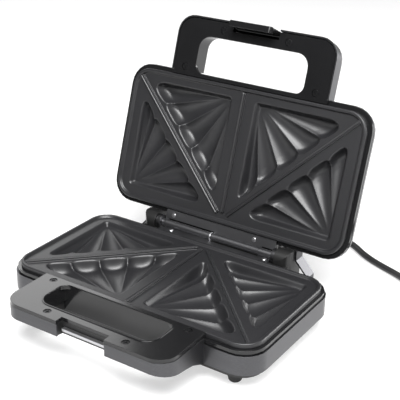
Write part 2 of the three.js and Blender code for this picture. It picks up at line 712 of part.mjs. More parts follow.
/** The lining of the hand opening, a rim round its front and sides. */
function openingSkirt(low, high) {
  const { halfX, front, frontRadius } = opening;
  const { skirt } = frame;
  const back = -shell.halfY - gap;
  const outer = box(halfX + skirt, front - skirt, back, frontRadius + skirt, 0);
  const inner = box(halfX, front, back + gap, frontRadius, 0);
  return carve(prism(outer, low, high), { cut: [prism(inner, low - gap, high + gap)] });
}

/** The hole in a frame that the pockets hang through. */
function pocketCut(low, high) {
  const { cutX, cutFront, cutBack, cutRadius } = frame;
  return prism(box(cutX, cutFront, cutBack, cutRadius), low - gap, high + gap);
}

/** The base's gloss black frame: rim ring, handle deck and the lining of its hand opening. */
function baseFrame() {
  const f = frame;
  const skirtLow = f.deckLow - f.skirtDrop;
  const ring = prism(box(f.halfX, -f.halfY, f.halfY, f.radius), f.low, f.high);
  const web = block([-f.deckHalfX, f.webFront, f.low], [f.deckHalfX, f.webBack, f.deckHigh]);
  const deck = prism(box(f.deckHalfX, f.deckFront, f.webBack, band.radius, 0), f.deckLow, f.deckHigh);
  return carve(ring, {
    add: [web, deck, openingSkirt(skirtLow, f.deckHigh), liningBack()],
    cut: [
      pocketCut(f.low, f.high),
      prism(openingOutline(opening.baseBack), skirtLow - gap, f.deckHigh + gap),
      latchNotch(skirtLow, f.deckHigh + gap),
      ...baseScrews.map(([x, y]) => screwHole(x, y, f.deckHigh)),
    ],
  });
}

/** The lid's frame, drawn shut: rim ring, handle deck, opening lining and the hinge boss. */
function lidFramePiece() {
  const f = lidFrame;
  const ring = prism(box(f.halfX, -f.halfY, f.halfY, frame.radius), f.low, f.high);
  const webHalfX = frame.deckHalfX - gap;
  const web = block([-webHalfX, frame.webFront, f.deckLow], [webHalfX, frame.webBack, f.high]);
  const deck = prism(lidBandOutline(f.deckHigh, band.wall + gap, frame.webBack), f.deckLow, f.deckHigh);
  const bossBack = hinge.y - hinge.boss;
  const boss = block([-hinge.halfLeaf, f.halfY - plate.lip, f.low], [hinge.halfLeaf, bossBack, f.high]);
  return carve(ring, {
    add: [web, deck, boss, openingSkirt(f.deckLow, f.skirtHigh)],
    cut: [
      pocketCut(f.low, f.high),
      prism(openingOutline(opening.back), f.deckLow - gap, f.skirtHigh + gap),
      latchNotch(f.deckLow - gap, f.skirtHigh + gap),
      ...lidScrews.map(([x, y]) => screwHole(x, -y, -f.deckLow).rotateX(Math.PI)),
      ...lidRivets.map(([x, y]) => rivetHole(x, -y, -f.low).rotateX(Math.PI)),
    ],
  });
}

/** The space under the base's handle, below its rising bottom edge, moved up by a lift. */
function underHandle(lift) {
  const slope = undersideShares.map(([out, up]) => new THREE.Vector2(
    THREE.MathUtils.lerp(-shell.halfY, band.front, out), shell.low + underHandleRise * up + lift,
  ));
  const highEnd = shell.low + underHandleRise + lift;
  const below = shell.low - overrun;
  const points = [
    ...slope, new THREE.Vector2(notch.front, highEnd), new THREE.Vector2(notch.front, below),
    new THREE.Vector2(-shell.halfY, below),
  ];
  return sidePrism(points.reverse(), -shell.halfX, shell.halfX);
}

/** The base's brushed steel wall: the body's ring with its bottom lip, and the band round the handle. */
function baseShell() {
  const s = shell;
  const innerX = s.halfX - s.wall;
  const innerY = s.halfY - s.wall;
  const outer = box(s.halfX, -s.halfY, s.halfY, s.radius);
  const inner = box(innerX, -innerY, innerY, s.radius - s.wall);
  const lipY = cover.halfY + gap;
  const lipHole = box(cover.halfX + gap, -lipY, lipY, cover.radius);
  const wall = carve(prism(outer, s.low, s.high), {
    cut: [prism(inner, s.low + s.lip, s.high + gap), prism(lipHole, s.low - gap, s.high)],
  });
  const bandOuter = box(band.halfX, band.front, 0, band.radius, 0);
  const bandInner = box(band.halfX - band.wall, band.front + band.wall, gap, band.radius - band.wall, 0);
  const handleBand = carve(prism(bandOuter, s.low, band.high), {
    cut: [
      prism(bandInner, s.low - gap, band.high + gap),
      block([-s.halfX, -s.halfY, s.high], [s.halfX, s.halfY, band.high + gap]),
      block([-s.halfX, band.overlap - s.halfY, s.low - gap], [s.halfX, s.halfY, band.high + gap]),
      underHandle(0),
      latchNotch(s.low, band.high + gap),
    ],
  });
  return carve(wall, { add: [handleBand] });
}

/** The outline between the opening's lining and the front of the handle, as the grips leave it free. */
function gripHole(low, high) {
  const { halfX, front, frontRadius } = opening;
  const grow = frame.skirt + gap;
  return prism(box(halfX + grow, front - grow, 0, frontRadius + grow, 0), low, high);
}

/** The black grip under the base's handle deck, with the latch notch in its front. */
function baseGrip() {
  const inset = band.wall + gap;
  const high = frame.deckLow - gap;
  const outer = box(band.halfX - inset, band.front + inset, -shell.halfY - gap, band.radius - inset, 0);
  return carve(prism(outer, shell.low, high), {
    cut: [
      gripHole(shell.low - gap, high + gap),
      underHandle(gripLift),
      latchNotch(shell.low - gap, high + gap),
      ...baseScrews.map(([x, y]) => screwHole(x, y, frame.deckHigh)),
    ],
  });
}

/** The levels of the lid's dome, grown inwards by a wall: upright, round the edge, then the crown. */
function domeLevels(wall) {
  const s = lidShell;
  const levels = [];
  const level = (inset, radius, z) => {
    const halfX = shell.halfX - wall - inset;
    const halfY = shell.halfY - wall - inset;
    levels.push({ points: box(halfX, -halfY, halfY, radius - wall), z });
  };
  level(0, shell.radius, wall === 0 ? s.low : s.low - gap);
  for (let i = 0; i <= s.edgeSteps; i += 1) {
    const angle = (i / s.edgeSteps) * (Math.PI / 2);
    const inset = s.inset * (1 - Math.cos(angle));
    const radius = THREE.MathUtils.mapLinear(inset, 0, s.inset, shell.radius, s.edgeRadius);
    level(inset, radius, s.shoulder + (s.rise - wall) * Math.sin(angle));
  }
  const crownY = shell.halfY * s.crownYShare;
  levels.push({ points: box(shell.halfX * s.crownXShare, -crownY, crownY, s.crownRadius), z: s.crown - wall });
  return levels;
}

/** The lid's handle band at a height, grown inwards by an inset, back to a given y. */
function lidBandOutline(z, inset, back) {
  const share = (z - lidBand.low) / (lidBand.high - lidBand.low);
  const halfX = band.halfX - lidBand.sideDrawIn * share - inset;
  const front = lidBand.front + lidBand.drawIn * share + inset;
  return box(halfX, front, back, lidBand.radius - inset, 0);
}

/** The lid's brushed steel dome, drawn shut, with the band round its handle. */
function lidShellPiece() {
  const s = lidShell;
  const upTo = (inset, extra) => stack([lidBand.low - extra, lidBand.high + extra].map(
    (z) => ({ points: lidBandOutline(z, inset, 0), z }),
  ));
  const handleBand = carve(upTo(0, 0), {
    cut: [
      upTo(band.wall, gap),
      block([-shell.halfX, -shell.halfY - gap, 0], [shell.halfX, gap, s.low]),
      block([-shell.halfX, lidBand.overlap - shell.halfY, 0], [shell.halfX, gap, s.crown]),
      latchNotch(0, s.crown),
    ],
  });
  return carve(stack(domeLevels(0)), {
    add: [handleBand],
    cut: [stack(domeLevels(shell.wall)), ...[-1, 1].map((side) => lampHole(side))],
  });
}

/** The black grip behind the lid's handle deck, drawn shut, with the latch's recess and pin bores. */
function lidGripPiece() {
  const levels = lidGripLevels.map(([z, inset]) => (
    { points: lidBandOutline(z, band.wall + gap + inset, -shell.halfY - gap), z }
  ));
  const pinEnd = notch.halfX + latch.pinSeat + gap;
  return carve(stack(levels), {
    cut: [
      gripHole(0, lidShell.crown),
      latchNotch(0, latch.z + latch.roof),
      bar(latch.bore, -pinEnd, pinEnd, latch.y, latch.z, hinge.sides),
      ...lidScrews.map(([x, y]) => screwHole(x, -y, -lidFrame.deckLow).rotateX(Math.PI)),
    ],
  });
}

/** The hole in the lid's crown that a lamp looks through. */
function lampHole(side) {
  return post(lamp.bore, side * lamp.x, lamp.y, lamp.low, lamp.dome + lamp.radius, lamp.sides);
}

/** A lamp lens with a low dome. */
function lampLens(side) {
  const { radius, low, dome, crown } = lamp;
  const profile = [[0, low], [radius, low], [radius, dome], [radius / Math.SQRT2, dome + crown / Math.SQRT2],
    [0, dome + crown]];
  return turned(profile, lamp.sides).translate(side * lamp.x, lamp.y, 0);
}

// bottom and hinge

/** The vent slots through the bottom cover. */
function ventSlots() {
  const slots = [];
  for (let i = 0; i < slot.columns; i += 1) {
    for (let j = 0; j < slot.rows; j += 1) {
      const x = (i - (slot.columns - 1) / 2) * slot.pitchX;
      const y = (j - (slot.rows - 1) / 2) * slot.pitchY;
      const shape = box(slot.half, y - slot.radius, y + slot.radius, slot.radius, slot.radius, slot.steps);
      slots.push(prism(shape, cover.low - gap, cover.floor + gap).translate(x, 0, 0));
    }
  }
  return slots;
}

/** The bottom cover: floor, upstand, rear tab, posts up to the frame, bosses under the tray and vents. */
function bottomCover() {
  const c = cover;
  const inX = c.halfX - c.wall;
  const inY = c.halfY - c.wall;
  const body = prism(box(c.halfX, -c.halfY, c.halfY, c.radius), c.low, c.high);
  const tab = prism(box(c.tabHalfX, c.halfY - c.tabLap, c.tabBack, 0, c.tabRadius), c.low, c.tabHigh);
  const bodyHollow = prism(box(inX, -inY, inY, c.radius - c.wall), c.floor, c.high + gap);
  const tabHollow = box(c.tabHalfX - c.wall, c.halfY + gap, c.tabBack - c.wall, 0, c.tabRadius - c.wall);
  const corners = [[-1, -1], [1, -1], [-1, 1], [1, 1]];
  const postX = (frame.cutX + inX) / 2;
  const postY = c.halfY * c.postYShare;
  const bossX = c.halfX * c.bossXShare;
  const bossY = c.halfY * c.bossYShare;
  const tray = carve(body, { add: [tab], cut: [bodyHollow, prism(tabHollow, c.floor, c.high)] });
  return carve(tray, {
    add: [
      ...corners.map(([i, j]) => post(c.post, i * postX, j * postY, c.low + gap, frame.low - gap, c.sides)),
      ...corners.map(([i, j]) => post(c.post, i * bossX, j * bossY, c.low + gap, reflector.low - gap, c.sides)),
    ],
    cut: ventSlots(),
  });
}

/** Outline in y and z of the hinge towers: round about the pin, then sloping under the open lid's back. */
function towerOutline(back) {
  const { y, z, opening: degrees } = hinge;
  const turn = THREE.MathUtils.degToRad(degrees);
  const reach = shell.halfY - y + gap;
  const round = y - housing.front - housing.roundClear;
  const lineAt = (rel) => z + (rel * Math.cos(turn) - reach) / Math.sin(turn);
  const points = [new THREE.Vector2(housing.front, housing.low), new THREE.Vector2(back, housing.low)];
  points.push(new THREE.Vector2(back, lineAt(back - y)));
  const last = Math.PI - turn;
  for (let i = 0; i <= cornerSteps; i += 1) {
    const angle = THREE.MathUtils.lerp(last, Math.PI, i / cornerSteps);
    points.push(new THREE.Vector2(y + round * Math.cos(angle), z + round * Math.sin(angle)));
  }
  return points;
}

/** The black housing across the back: a hollow bar with seats for the collars, a rail and two towers. */
function hingeHousing() {
  const h = housing;
  const bodyBar = block([-h.halfX, h.front, h.low], [h.halfX, h.back, h.bar]);
  const rail = block([-h.halfX, h.back - h.wall, h.low], [h.halfX, h.back, h.bar + h.rail]);
  const plan = prism(outline([
    [h.towerInner, h.front, 0], [h.towerInner + h.towerFlat, h.front, 0], [h.towerOuter, h.front, h.corner],
    [h.towerOuter, h.back, 0], [h.towerInner, h.back, 0],
  ]), h.low, hinge.z + overrun);
  const tower = within(sidePrism(towerOutline(h.back), h.towerInner, h.towerOuter), plan);
  const bore = bar(hinge.bore, h.towerInner - gap, hinge.pinHalf + h.boreEnd, hinge.y, hinge.z, hinge.sides);
  const hollowX = h.halfX - h.hollowInset;
  const hollow = block([-hollowX, h.front + h.wall, h.low - gap], [hollowX, h.back - h.wall, h.bar - h.roof]);
  const seat = bar(hinge.collar + gap, hinge.end, h.towerInner, hinge.y, hinge.z, hinge.sides);
  const rivets = baseRivets.map(([x, y]) => rivetHole(x, y, hinge.baseLeafLow + hinge.leaf));
  return carve(bodyBar, {
    add: [rail, tower, flipped(tower)],
    cut: [bore, flipped(bore), seat, flipped(seat), hollow, ...rivets],
  });
}

/** The right-hand steel cheek: upright beside its tower, then flared out and down. */
function cheekShape() {
  const { inner, wall, front, back, top, knee, flare, flareZ, low } = cheek;
  const outer = inner + flare;
  const section = outline([
    [inner, top, 0], [inner, knee, 0], [outer - wall, flareZ, 0], [outer - wall, low, 0], [outer, low, 0],
    [outer, flareZ + wall / 2, 0], [inner + wall, knee + wall / 2, 0], [inner + wall, top, 0],
  ]);
  const geometry = new THREE.ExtrudeGeometry(new THREE.Shape(section), { depth: back - front, bevelEnabled: false });
  const upright = geometry.rotateX(Math.PI / 2).translate(0, back, 0);
  return within(upright, sidePrism(towerOutline(back + gap), 0, shell.halfX));
}

/** The x spans of one leaf's knuckles: the lid's are the even ones, the base's the odd ones. */
function knuckleSpans(first) {
  const edges = hinge.splitShares.map((share) => share * hinge.end);
  const spans = [];
  for (let i = first; i + 1 < edges.length; i += 2) {
    const left = i === 0 ? edges[i] : edges[i] + gap / 2;
    const right = i + 2 === edges.length ? edges[i + 1] : edges[i + 1] - gap / 2;
    spans.push([left, right]);
  }
  return spans;
}

/** A hinge leaf between two heights: a strip along the back edge, tabs to its knuckles and the knuckles. */
function hingeLeaf(spans, rivets, low) {
  const high = low + hinge.leaf;
  const strip = block([-hinge.halfLeaf, hinge.leafFront, low], [hinge.halfLeaf, hinge.leafBack, high]);
  const tabs = spans.map(([left, right]) => {
    const from = Math.max(left, -hinge.halfLeaf);
    return block([from, hinge.leafFront, low], [Math.min(right, hinge.halfLeaf), hinge.y - hinge.tabBite, high]);
  });
  const barrels = spans.map(([left, right]) => bar(hinge.barrel, left, right, hinge.y, hinge.z, hinge.sides));
  const bore = bar(hinge.bore, -hinge.pinHalf, hinge.pinHalf, hinge.y, hinge.z, hinge.sides);
  return carve(strip, {
    add: [...tabs, ...barrels],
    cut: [bore, ...rivets.map(([x, y]) => post(rivet.bore, x, y, low - gap, high + gap, rivet.sides))],
  });
}

/** A round collar on the pin beside a tower. */
function collar(side) {
  const left = hinge.end + gap;
  const right = housing.towerInner - gap;
  const disc = bar(hinge.collar, left, right, hinge.y, hinge.z, hinge.sides);
  const ring = carve(disc, { cut: [bar(hinge.bore, left - gap, right + gap, hinge.y, hinge.z, hinge.sides)] });
  return side > 0 ? ring : flipped(ring);
}

/** The steel strip that the latch hooks under, standing out of the back of its notch. */
function strikeStrip() {
  const { halfX, front, low, thick } = strike;
  return block([-halfX, front, low], [halfX, notch.back - gap, low + thick]);
}

/** The latch, drawn engaged: a plate with a hook and finger lip below and its pivot barrel behind. */
function latchShape() {
  const { halfX, thick, standOff, hookUnder, hookClear, hook, lip, lipHeight, above, corner } = latch;
  const back = strike.front - standOff;
  const front = back - thick;
  const hookTop = strike.low - hookClear;
  const low = hookTop - hook;
  const high = latch.z + above;
  const profile = outline([
    [front - lip, low, corner], [strike.front + hookUnder, low, corner], [strike.front + hookUnder, hookTop, 0],
    [back, hookTop, 0], [back, high, corner], [front, high, corner], [front, low + lipHeight + corner, 0],
    [front - lip, low + lipHeight, 0],
  ], 3);
  const face = box(halfX, low, high, latch.blunt, corner);
  const blunt = prism(face, 0, lip - front).rotateX(Math.PI / 2);
  const barrel = bar(latch.barrel, -halfX, halfX, latch.y, latch.z, hinge.sides);
  const bore = bar(latch.bore, -notch.halfX, notch.halfX, latch.y, latch.z, hinge.sides);
  return carve(within(sidePrism(profile, -halfX, halfX), blunt), { add: [barrel], cut: [bore] });
}

// mains lead

/** The strain relief at the back: a flange and a taper along y. */
function reliefShape() {
  const { x, z, flange, flangeLength, root, tip, length, sides } = relief;
  const profile = [[0, 0], [flange, 0], [flange, flangeLength], [root, flangeLength], [tip, length], [0, length]];
  return turned(profile, sides).rotateX(-Math.PI / 2).translate(x, housing.back + gap, z);
}

/** One point of the coil: it spirals in on the lower layer, climbs at the turn and spirals out above. */
function coilPoint(turns) {
  const past = turns - coil.total / 2;
  const radius = coil.outer - coil.pitch * (coil.total / 2 - Math.abs(past));
  const angle = THREE.MathUtils.degToRad(coil.entry + turns * 360);
  const z = coil.z + coil.pitch * THREE.MathUtils.smoothstep(past, -coil.liftTurns, coil.liftTurns);
  return new THREE.Vector3(coil.x + radius * Math.cos(angle), coil.y + radius * Math.sin(angle), z);
}

/** The coil's centre line: a straight start, the turns and a straight tail. */
function coilPath() {
  const steps = Math.round(coil.total * coil.stepsPerTurn);
  const points = [];
  for (let i = 0; i <= steps; i += 1) {
    points.push(coilPoint((i / steps) * coil.total));
  }
  const first = points[0].clone().sub(points[1]).setZ(0).setLength(coil.straight).add(points[0]);
  const away = new THREE.Vector3(coil.tail, 0, 0).add(points[steps]);
  return [first, ...points, away];
}

/** A tube along a list of points, its rings upright across the path. */
function wound(points, radius, sides) {
  const rings = points.map((point, i) => {
    const before = points[Math.max(i - 1, 0)];
    const after = points[Math.min(i + 1, points.length - 1)];
    const ahead = after.clone().sub(before).normalize();
    const across = ahead.clone().cross(new THREE.Vector3(0, 0, 1)).normalize();
    const up = across.clone().cross(ahead);
    const ring = [];
    for (let k = 0; k < sides; k += 1) {
      const angle = (2 * Math.PI * k) / sides;
      ring.push(point.clone().addScaledVector(across, radius * Math.cos(angle))
        .addScaledVector(up, radius * Math.sin(angle)));
    }
    return ring;
  });
  return skin(rings);
}

/** Least gap between the coil's own turns, from its centre line. */
function coilSelfGap(points) {
  let least = Infinity;
  const half = coil.stepsPerTurn / 2;
  points.forEach((a, i) => {
    for (let j = i + half; j + 1 < points.length; j += 1) {
      const segment = new THREE.Line3(points[j], points[j + 1]);
      least = Math.min(least, segment.closestPointToPoint(a, true, new THREE.Vector3()).distanceTo(a));
    }
  });
  return least - 2 * cord.radius;
}

/** The lead's free stretch from the strain relief to the coil. */
function freeLead(coilStart, coilNext) {
  const back = coilStart.clone().sub(coilNext).normalize();
  const end = coilStart.clone().addScaledVector(back, gap);
  const approach = coilStart.clone().addScaledVector(back, coil.approach);
  const points = [...route.map((p) => new THREE.Vector3(...p)), approach, end];
  return tube(new THREE.CatmullRomCurve3(points), cord.radius, cord.sides, cord.steps);
}

/** The tie round all the coil's turns at one place. */
function tieShape() {
  const reach = cord.radius + tie.clearance;
  const near = coil.outer - (coil.pitch * coil.total) / 2 - reach;
  const far = coil.outer + reach;
  const low = coil.z - reach;
  const high = coil.z + coil.pitch + reach;
  const loop = (grow) => outline([
    [near - grow, low - grow, tie.radius + grow], [far + grow, low - grow, tie.radius + grow],
    [far + grow, high + grow, tie.radius + grow], [near - grow, high + grow, tie.radius + grow],
  ], 3);
  const band = new THREE.Shape(loop(tie.wall));
  band.holes.push(new THREE.Path(loop(0)));
  const geometry = new THREE.ExtrudeGeometry(band, { depth: 2 * tie.halfWidth, bevelEnabled: false });
  return geometry.translate(0, 0, -tie.halfWidth).rotateX(Math.PI / 2)
    .rotateZ(THREE.MathUtils.degToRad(tie.angle)).translate(coil.x, coil.y, 0);
}

/** The moulded plug lying on its back with its pins up, its sleeve towards the lead's end. */
function plugShape(end) {
  const p = plug;
  const start = end.x + gap;
  const bodyStart = start + p.sleeveLength;
  const sleeve = turned([[0, 0], [p.sleeveTip, 0], [p.sleeve, p.sleeveLength], [p.sleeve, p.sleeveLength + p.bury],
    [0, p.sleeveLength + p.bury]], p.sides).rotateY(Math.PI / 2).translate(start, end.y, end.z);
  const body = prism(outline([
    [bodyStart, end.y - p.halfWidth, p.radius], [bodyStart + p.length, end.y - p.halfWidth, p.radius],
    [bodyStart + p.length, end.y + p.halfWidth, p.radius], [bodyStart, end.y + p.halfWidth, p.radius],
  ], p.steps), ground, ground + p.height);
  const top = ground + p.height;
  const pin = (x, y, long, wide) => block(
    [bodyStart + x - long / 2, end.y + y - wide / 2, top - p.bury],
    [bodyStart + x + long / 2, end.y + y + wide / 2, top + p.pinLength],
  );
  return carve(body, {
    add: [
      sleeve,
      pin(p.pinX, -p.pinY, p.pinThick, p.pinWide),
      pin(p.pinX, p.pinY, p.pinThick, p.pinWide),
      pin(p.earthX, 0, p.earthLong, p.pinThick),
    ],
  });
}

// assembly

/** Everything of the base that doesn't move. */
function base() {
  const group = new THREE.Group();
  group.add(
    piece("base_shell", baseShell(), "steel"),
    piece("base_frame", baseFrame(), "glossBlack"),
    piece("base_grip", baseGrip(), "satinBlack"),
    piece("lower_plate", lowerPlate(), "coating"),
    piece("lower_element", heatingElement(), "bright"),
    piece("lower_reflector", reflectorTray(), "aluminised"),
    piece("bottom_cover", bottomCover(), "satinBlack"),
    piece("thermostat", thermostatCan(), "aluminised"),
    piece("thermal_fuse", fuseCan(), "bright"),
    piece("terminal_block", terminalBlock(), "ceramic"),
    piece("hinge_housing", hingeHousing(), "satinBlack"),
    piece("hinge_cheek_right", cheekShape(), "steel"),
    piece("hinge_cheek_left", flipped(cheekShape()), "steel"),
    piece("hinge_leaf_base", hingeLeaf(knuckleSpans(1), baseRivets, hinge.baseLeafLow), "steel"),
    piece("hinge_pin", bar(hinge.pin, -hinge.pinHalf, hinge.pinHalf, hinge.y, hinge.z, hinge.sides), "bright"),
    piece("hinge_collar_left", collar(-1), "steel"),
    piece("hinge_collar_right", collar(1), "steel"),
    piece("latch_strike", strikeStrip(), "steel"),
    piece("foot_front_left", footShape(-foot.frontX, foot.frontY), "rubber"),
    piece("foot_front_right", footShape(foot.frontX, foot.frontY), "rubber"),
    piece("foot_rear_left", footShape(-foot.backX, foot.backY), "rubber"),
    piece("foot_rear_right", footShape(foot.backX, foot.backY), "rubber"),
    piece("strain_relief", reliefShape(), "rubber"),
  );
  baseScrews.forEach(([x, y], i) => {
    group.add(piece(`base_screw_${i + 1}`, screwShape(x, y, frame.deckHigh), "bright"));
  });
  baseRivets.forEach(([x, y], i) => {
    group.add(piece(`base_rivet_${i + 1}`, rivetShape(x, y, hinge.baseLeafLow + hinge.leaf), "bright"));
  });
  return group;
}

/** The latch in its own group, swung out about its pivot. */
function latchGroup() {
  const swung = new THREE.Group();
  swung.position.set(0, latch.y, latch.z);
  swung.rotation.x = -THREE.MathUtils.degToRad(latch.release);
  const mesh = piece("latch", latchShape(), "glossBlack");
  mesh.position.set(0, -latch.y, -latch.z);
  swung.add(mesh);
  return swung;
}

/** The lid, drawn shut inside a group that is turned open about the hinge. */
function lid() {
  const pinHalf = notch.halfX + latch.pinSeat;
  const drawnShut = new THREE.Group();
  drawnShut.position.set(0, -hinge.y, -hinge.z);
  drawnShut.add(
    piece("lid_shell", lidShellPiece(), "steel"),
    piece("lid_frame", lidFramePiece(), "glossBlack"),
    piece("lid_grip", lidGripPiece(), "satinBlack"),
    piece("upper_plate", mirrored(lowerPlate()), "coating"),
    piece("upper_element", mirrored(heatingElement()), "bright"),
    piece("upper_reflector", mirrored(reflectorTray()), "aluminised"),
    piece("power_lamp", lampLens(-1), "red"),
    piece("ready_lamp", lampLens(1), "green"),
    piece("hinge_leaf_lid", hingeLeaf(knuckleSpans(0), lidRivets, hinge.lidLeafLow), "steel"),
    piece("latch_pin", bar(latch.pin, -pinHalf, pinHalf, latch.y, latch.z, hinge.sides), "bright"),
    latchGroup(),
  );
  lidScrews.forEach(([x, y], i) => {
    const shape = screwShape(x, -y, -lidFrame.deckLow).rotateX(Math.PI);
    drawnShut.add(piece(`lid_screw_${i + 1}`, shape, "bright"));
  });
  lidRivets.forEach(([x, y], i) => {
    const shape = rivetShape(x, -y, -hinge.lidLeafLow).rotateX(Math.PI);
    drawnShut.add(piece(`lid_rivet_${i + 1}`, shape, "bright"));
  });
  const opened = new THREE.Group();
  opened.position.set(0, hinge.y, hinge.z);
  opened.rotation.x = -THREE.MathUtils.degToRad(hinge.opening);
  opened.add(drawnShut);
  return opened;
}

/** The mains lead: free stretch, coil, tie and plug. */
function lead() {
  const path = coilPath();
  console.log(`least gap between the coil's turns: ${coilSelfGap(path).toFixed(2)} mm`);
  const group = new THREE.Group();
  group.add(
    piece("cord", freeLead(path[0], path[1]), "rubber"),
    piece("cord_coil", wound(path, cord.radius, coil.sides), "rubber"),
    piece("cord_tie", tieShape(), "satinBlack"),
    piece("plug", plugShape(path[path.length - 1]), "satinBlack"),
  );
  return group;
}

const appliance = new THREE.Group();
appliance.add(base(), lid());
const size = new THREE.Box3().setFromObject(appliance, true);
const middle = size.getCenter(new THREE.Vector3());

const sandwichMaker = new THREE.Group();
sandwichMaker.add(appliance, lead());
sandwichMaker.position.set(0, -middle.y, -ground);

export default sandwichMaker;
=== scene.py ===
"""An open sandwich maker: fluted pocket plates, steel shells, split carry handle, hinge and coiled lead.

Lengths are in mm from the seam where the plates meet when shut, x right, y back, z up. placed() turns
them into the frame's metres, and opened() first swings what belongs to the lid to its open place.
"""
import json
import math

import bmesh
import bpy
import numpy as np
from mathutils import Matrix, Vector

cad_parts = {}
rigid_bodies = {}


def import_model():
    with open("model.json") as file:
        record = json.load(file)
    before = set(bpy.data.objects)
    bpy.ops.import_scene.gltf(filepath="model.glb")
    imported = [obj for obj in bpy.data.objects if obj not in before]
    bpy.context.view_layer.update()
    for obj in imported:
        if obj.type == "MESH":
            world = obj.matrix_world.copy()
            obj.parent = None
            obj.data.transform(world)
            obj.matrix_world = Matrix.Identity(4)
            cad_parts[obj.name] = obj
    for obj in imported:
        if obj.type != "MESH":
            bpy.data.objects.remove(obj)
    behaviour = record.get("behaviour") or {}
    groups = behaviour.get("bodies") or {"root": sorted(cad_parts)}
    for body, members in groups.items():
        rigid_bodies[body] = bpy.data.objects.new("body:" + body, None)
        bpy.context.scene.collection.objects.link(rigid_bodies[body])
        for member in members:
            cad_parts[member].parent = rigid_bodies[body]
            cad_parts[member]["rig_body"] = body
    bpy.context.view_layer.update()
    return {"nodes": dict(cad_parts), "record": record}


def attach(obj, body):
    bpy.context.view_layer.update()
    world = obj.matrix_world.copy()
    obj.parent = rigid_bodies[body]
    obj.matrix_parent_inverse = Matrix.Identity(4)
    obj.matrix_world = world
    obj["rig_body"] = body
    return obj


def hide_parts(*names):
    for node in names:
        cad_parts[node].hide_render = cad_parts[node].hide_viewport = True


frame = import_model()

# The hinge line in mm from the seam, and the joint that says where it lies in the frame
HINGE = np.array([0.0, 78.0, 0.4])
JOINT = next(joint for joint in frame["record"]["behaviour"]["joints"] if joint["name"] == "lid_hinge")
OPENING = math.radians(JOINT["range_deg"][1])
SHIFT = np.array(JOINT["pos_m"]) * 1000 - HINGE
PLATE_GAP = 0.4


def placed(points):
    """Points from the shut seam in mm, as metres in the frame."""
    return (np.asarray(points, float) + SHIFT) / 1000


def opened(points):
    """Points of the lid drawn shut, turned about the hinge line by the opening angle."""
    points = np.asarray(points, float)
    y, z = points[..., 1] - HINGE[1], points[..., 2] - HINGE[2]
    cos, sin = math.cos(OPENING), math.sin(OPENING)
    turned = [points[..., 0], HINGE[1] + y * cos + z * sin, HINGE[2] - y * sin + z * cos]
    return np.stack(turned, axis=-1)


def in_place(points, lid):
    """Points of a lower part in metres; the lid's twin is mirrored over the gap and swung open."""
    if lid:
        points = opened(points * (1, 1, -1) + (0, 0, PLATE_GAP))
    return placed(points)


# Camera, fitted to the outlines of both plates: its aim is in mm from the seam, its distance in metres
AZIMUTH, ELEVATION, ROLL = math.radians(33.47), math.radians(24.53), math.radians(0.75)
CAMERA_AIM = (-60.66, 141.13, 0)
CAMERA_DISTANCE = 0.97515
CAMERA_LENS = 86.01
CAMERA_SENSOR = 36


def photo_camera():
    """The camera stands off the object at its azimuth and elevation, turned by its small roll."""
    level = Vector((math.cos(AZIMUTH), math.sin(AZIMUTH), 0))
    ahead = Vector((-math.sin(AZIMUTH), math.cos(AZIMUTH), 0))
    back = Vector((0, 0, math.sin(ELEVATION))) - ahead * math.cos(ELEVATION)
    upright = back.cross(level)
    right = level * math.cos(ROLL) + upright * math.sin(ROLL)
    up = upright * math.cos(ROLL) - level * math.sin(ROLL)
    data = bpy.data.cameras.new("photo_camera")
    data.sensor_width = CAMERA_SENSOR
    data.lens = CAMERA_LENS
    camera = bpy.data.objects.new("photo_camera", data)
    camera.matrix_world = Matrix((right, up, back)).transposed().to_4x4()
    camera.location = Vector(placed(CAMERA_AIM)) + back * CAMERA_DISTANCE
    bpy.context.scene.collection.objects.link(camera)
    bpy.context.scene.camera = camera


photo_camera()
bpy.context.scene.view_settings.view_transform = "Standard"


def linear(code):
    """An sRGB hex colour as linear red, green, blue and alpha."""
    parts = [int(code[i:i + 2], 16) / 255 for i in (1, 3, 5)]
    return [c / 12.92 if c <= 0.04045 else ((c + 0.055) / 1.055) ** 2.4 for c in parts] + [1.0]


def add(tree, kind, inputs=None, **settings):
    """Adds a node; each input is a value or the output socket that feeds it."""
    node = tree.nodes.new(kind)
    for name, value in settings.items():
        setattr(node, name, value)
    for name, value in (inputs or {}).items():
        if isinstance(value, bpy.types.NodeSocket):
            tree.links.new(value, node.inputs[name])
        else:
            node.inputs[name].default_value = value
    return node


def fresh(name):
    """An empty material and its node tree."""
    material = bpy.data.materials.new(name)
    material.use_nodes = True
    material.node_tree.nodes.clear()
    return material, material.node_tree


# Floor, surround and lamps: sizes and places in metres
FLOOR_HALF = 4
PAPER = "#b8b8b8"
PAPER_GLOW = 0.6
# the surround's strength at the horizon and overhead, and how steeply up it gets to the second
AT_HORIZON, OVERHEAD, OVERHEAD_FROM = 0.13, 0.11, 0.8
# each lamp has a name, a place, an aim, a width, a height and its watts
LAMPS = [
    ("key_softbox", (0.41, -0.55, 1.23), (0, 0.05, 0.08), 1.05, 0.75, 47.0),
    ("back_softbox", (-0.95, 0.66, 0.62), (-0.1, -0.1, 0.04), 0.55, 0.5, 2.6),
    ("side_softbox", (0.95, 1.1, 0.38), (0.05, 0.0, 0.06), 0.9, 0.6, 18.0),
]


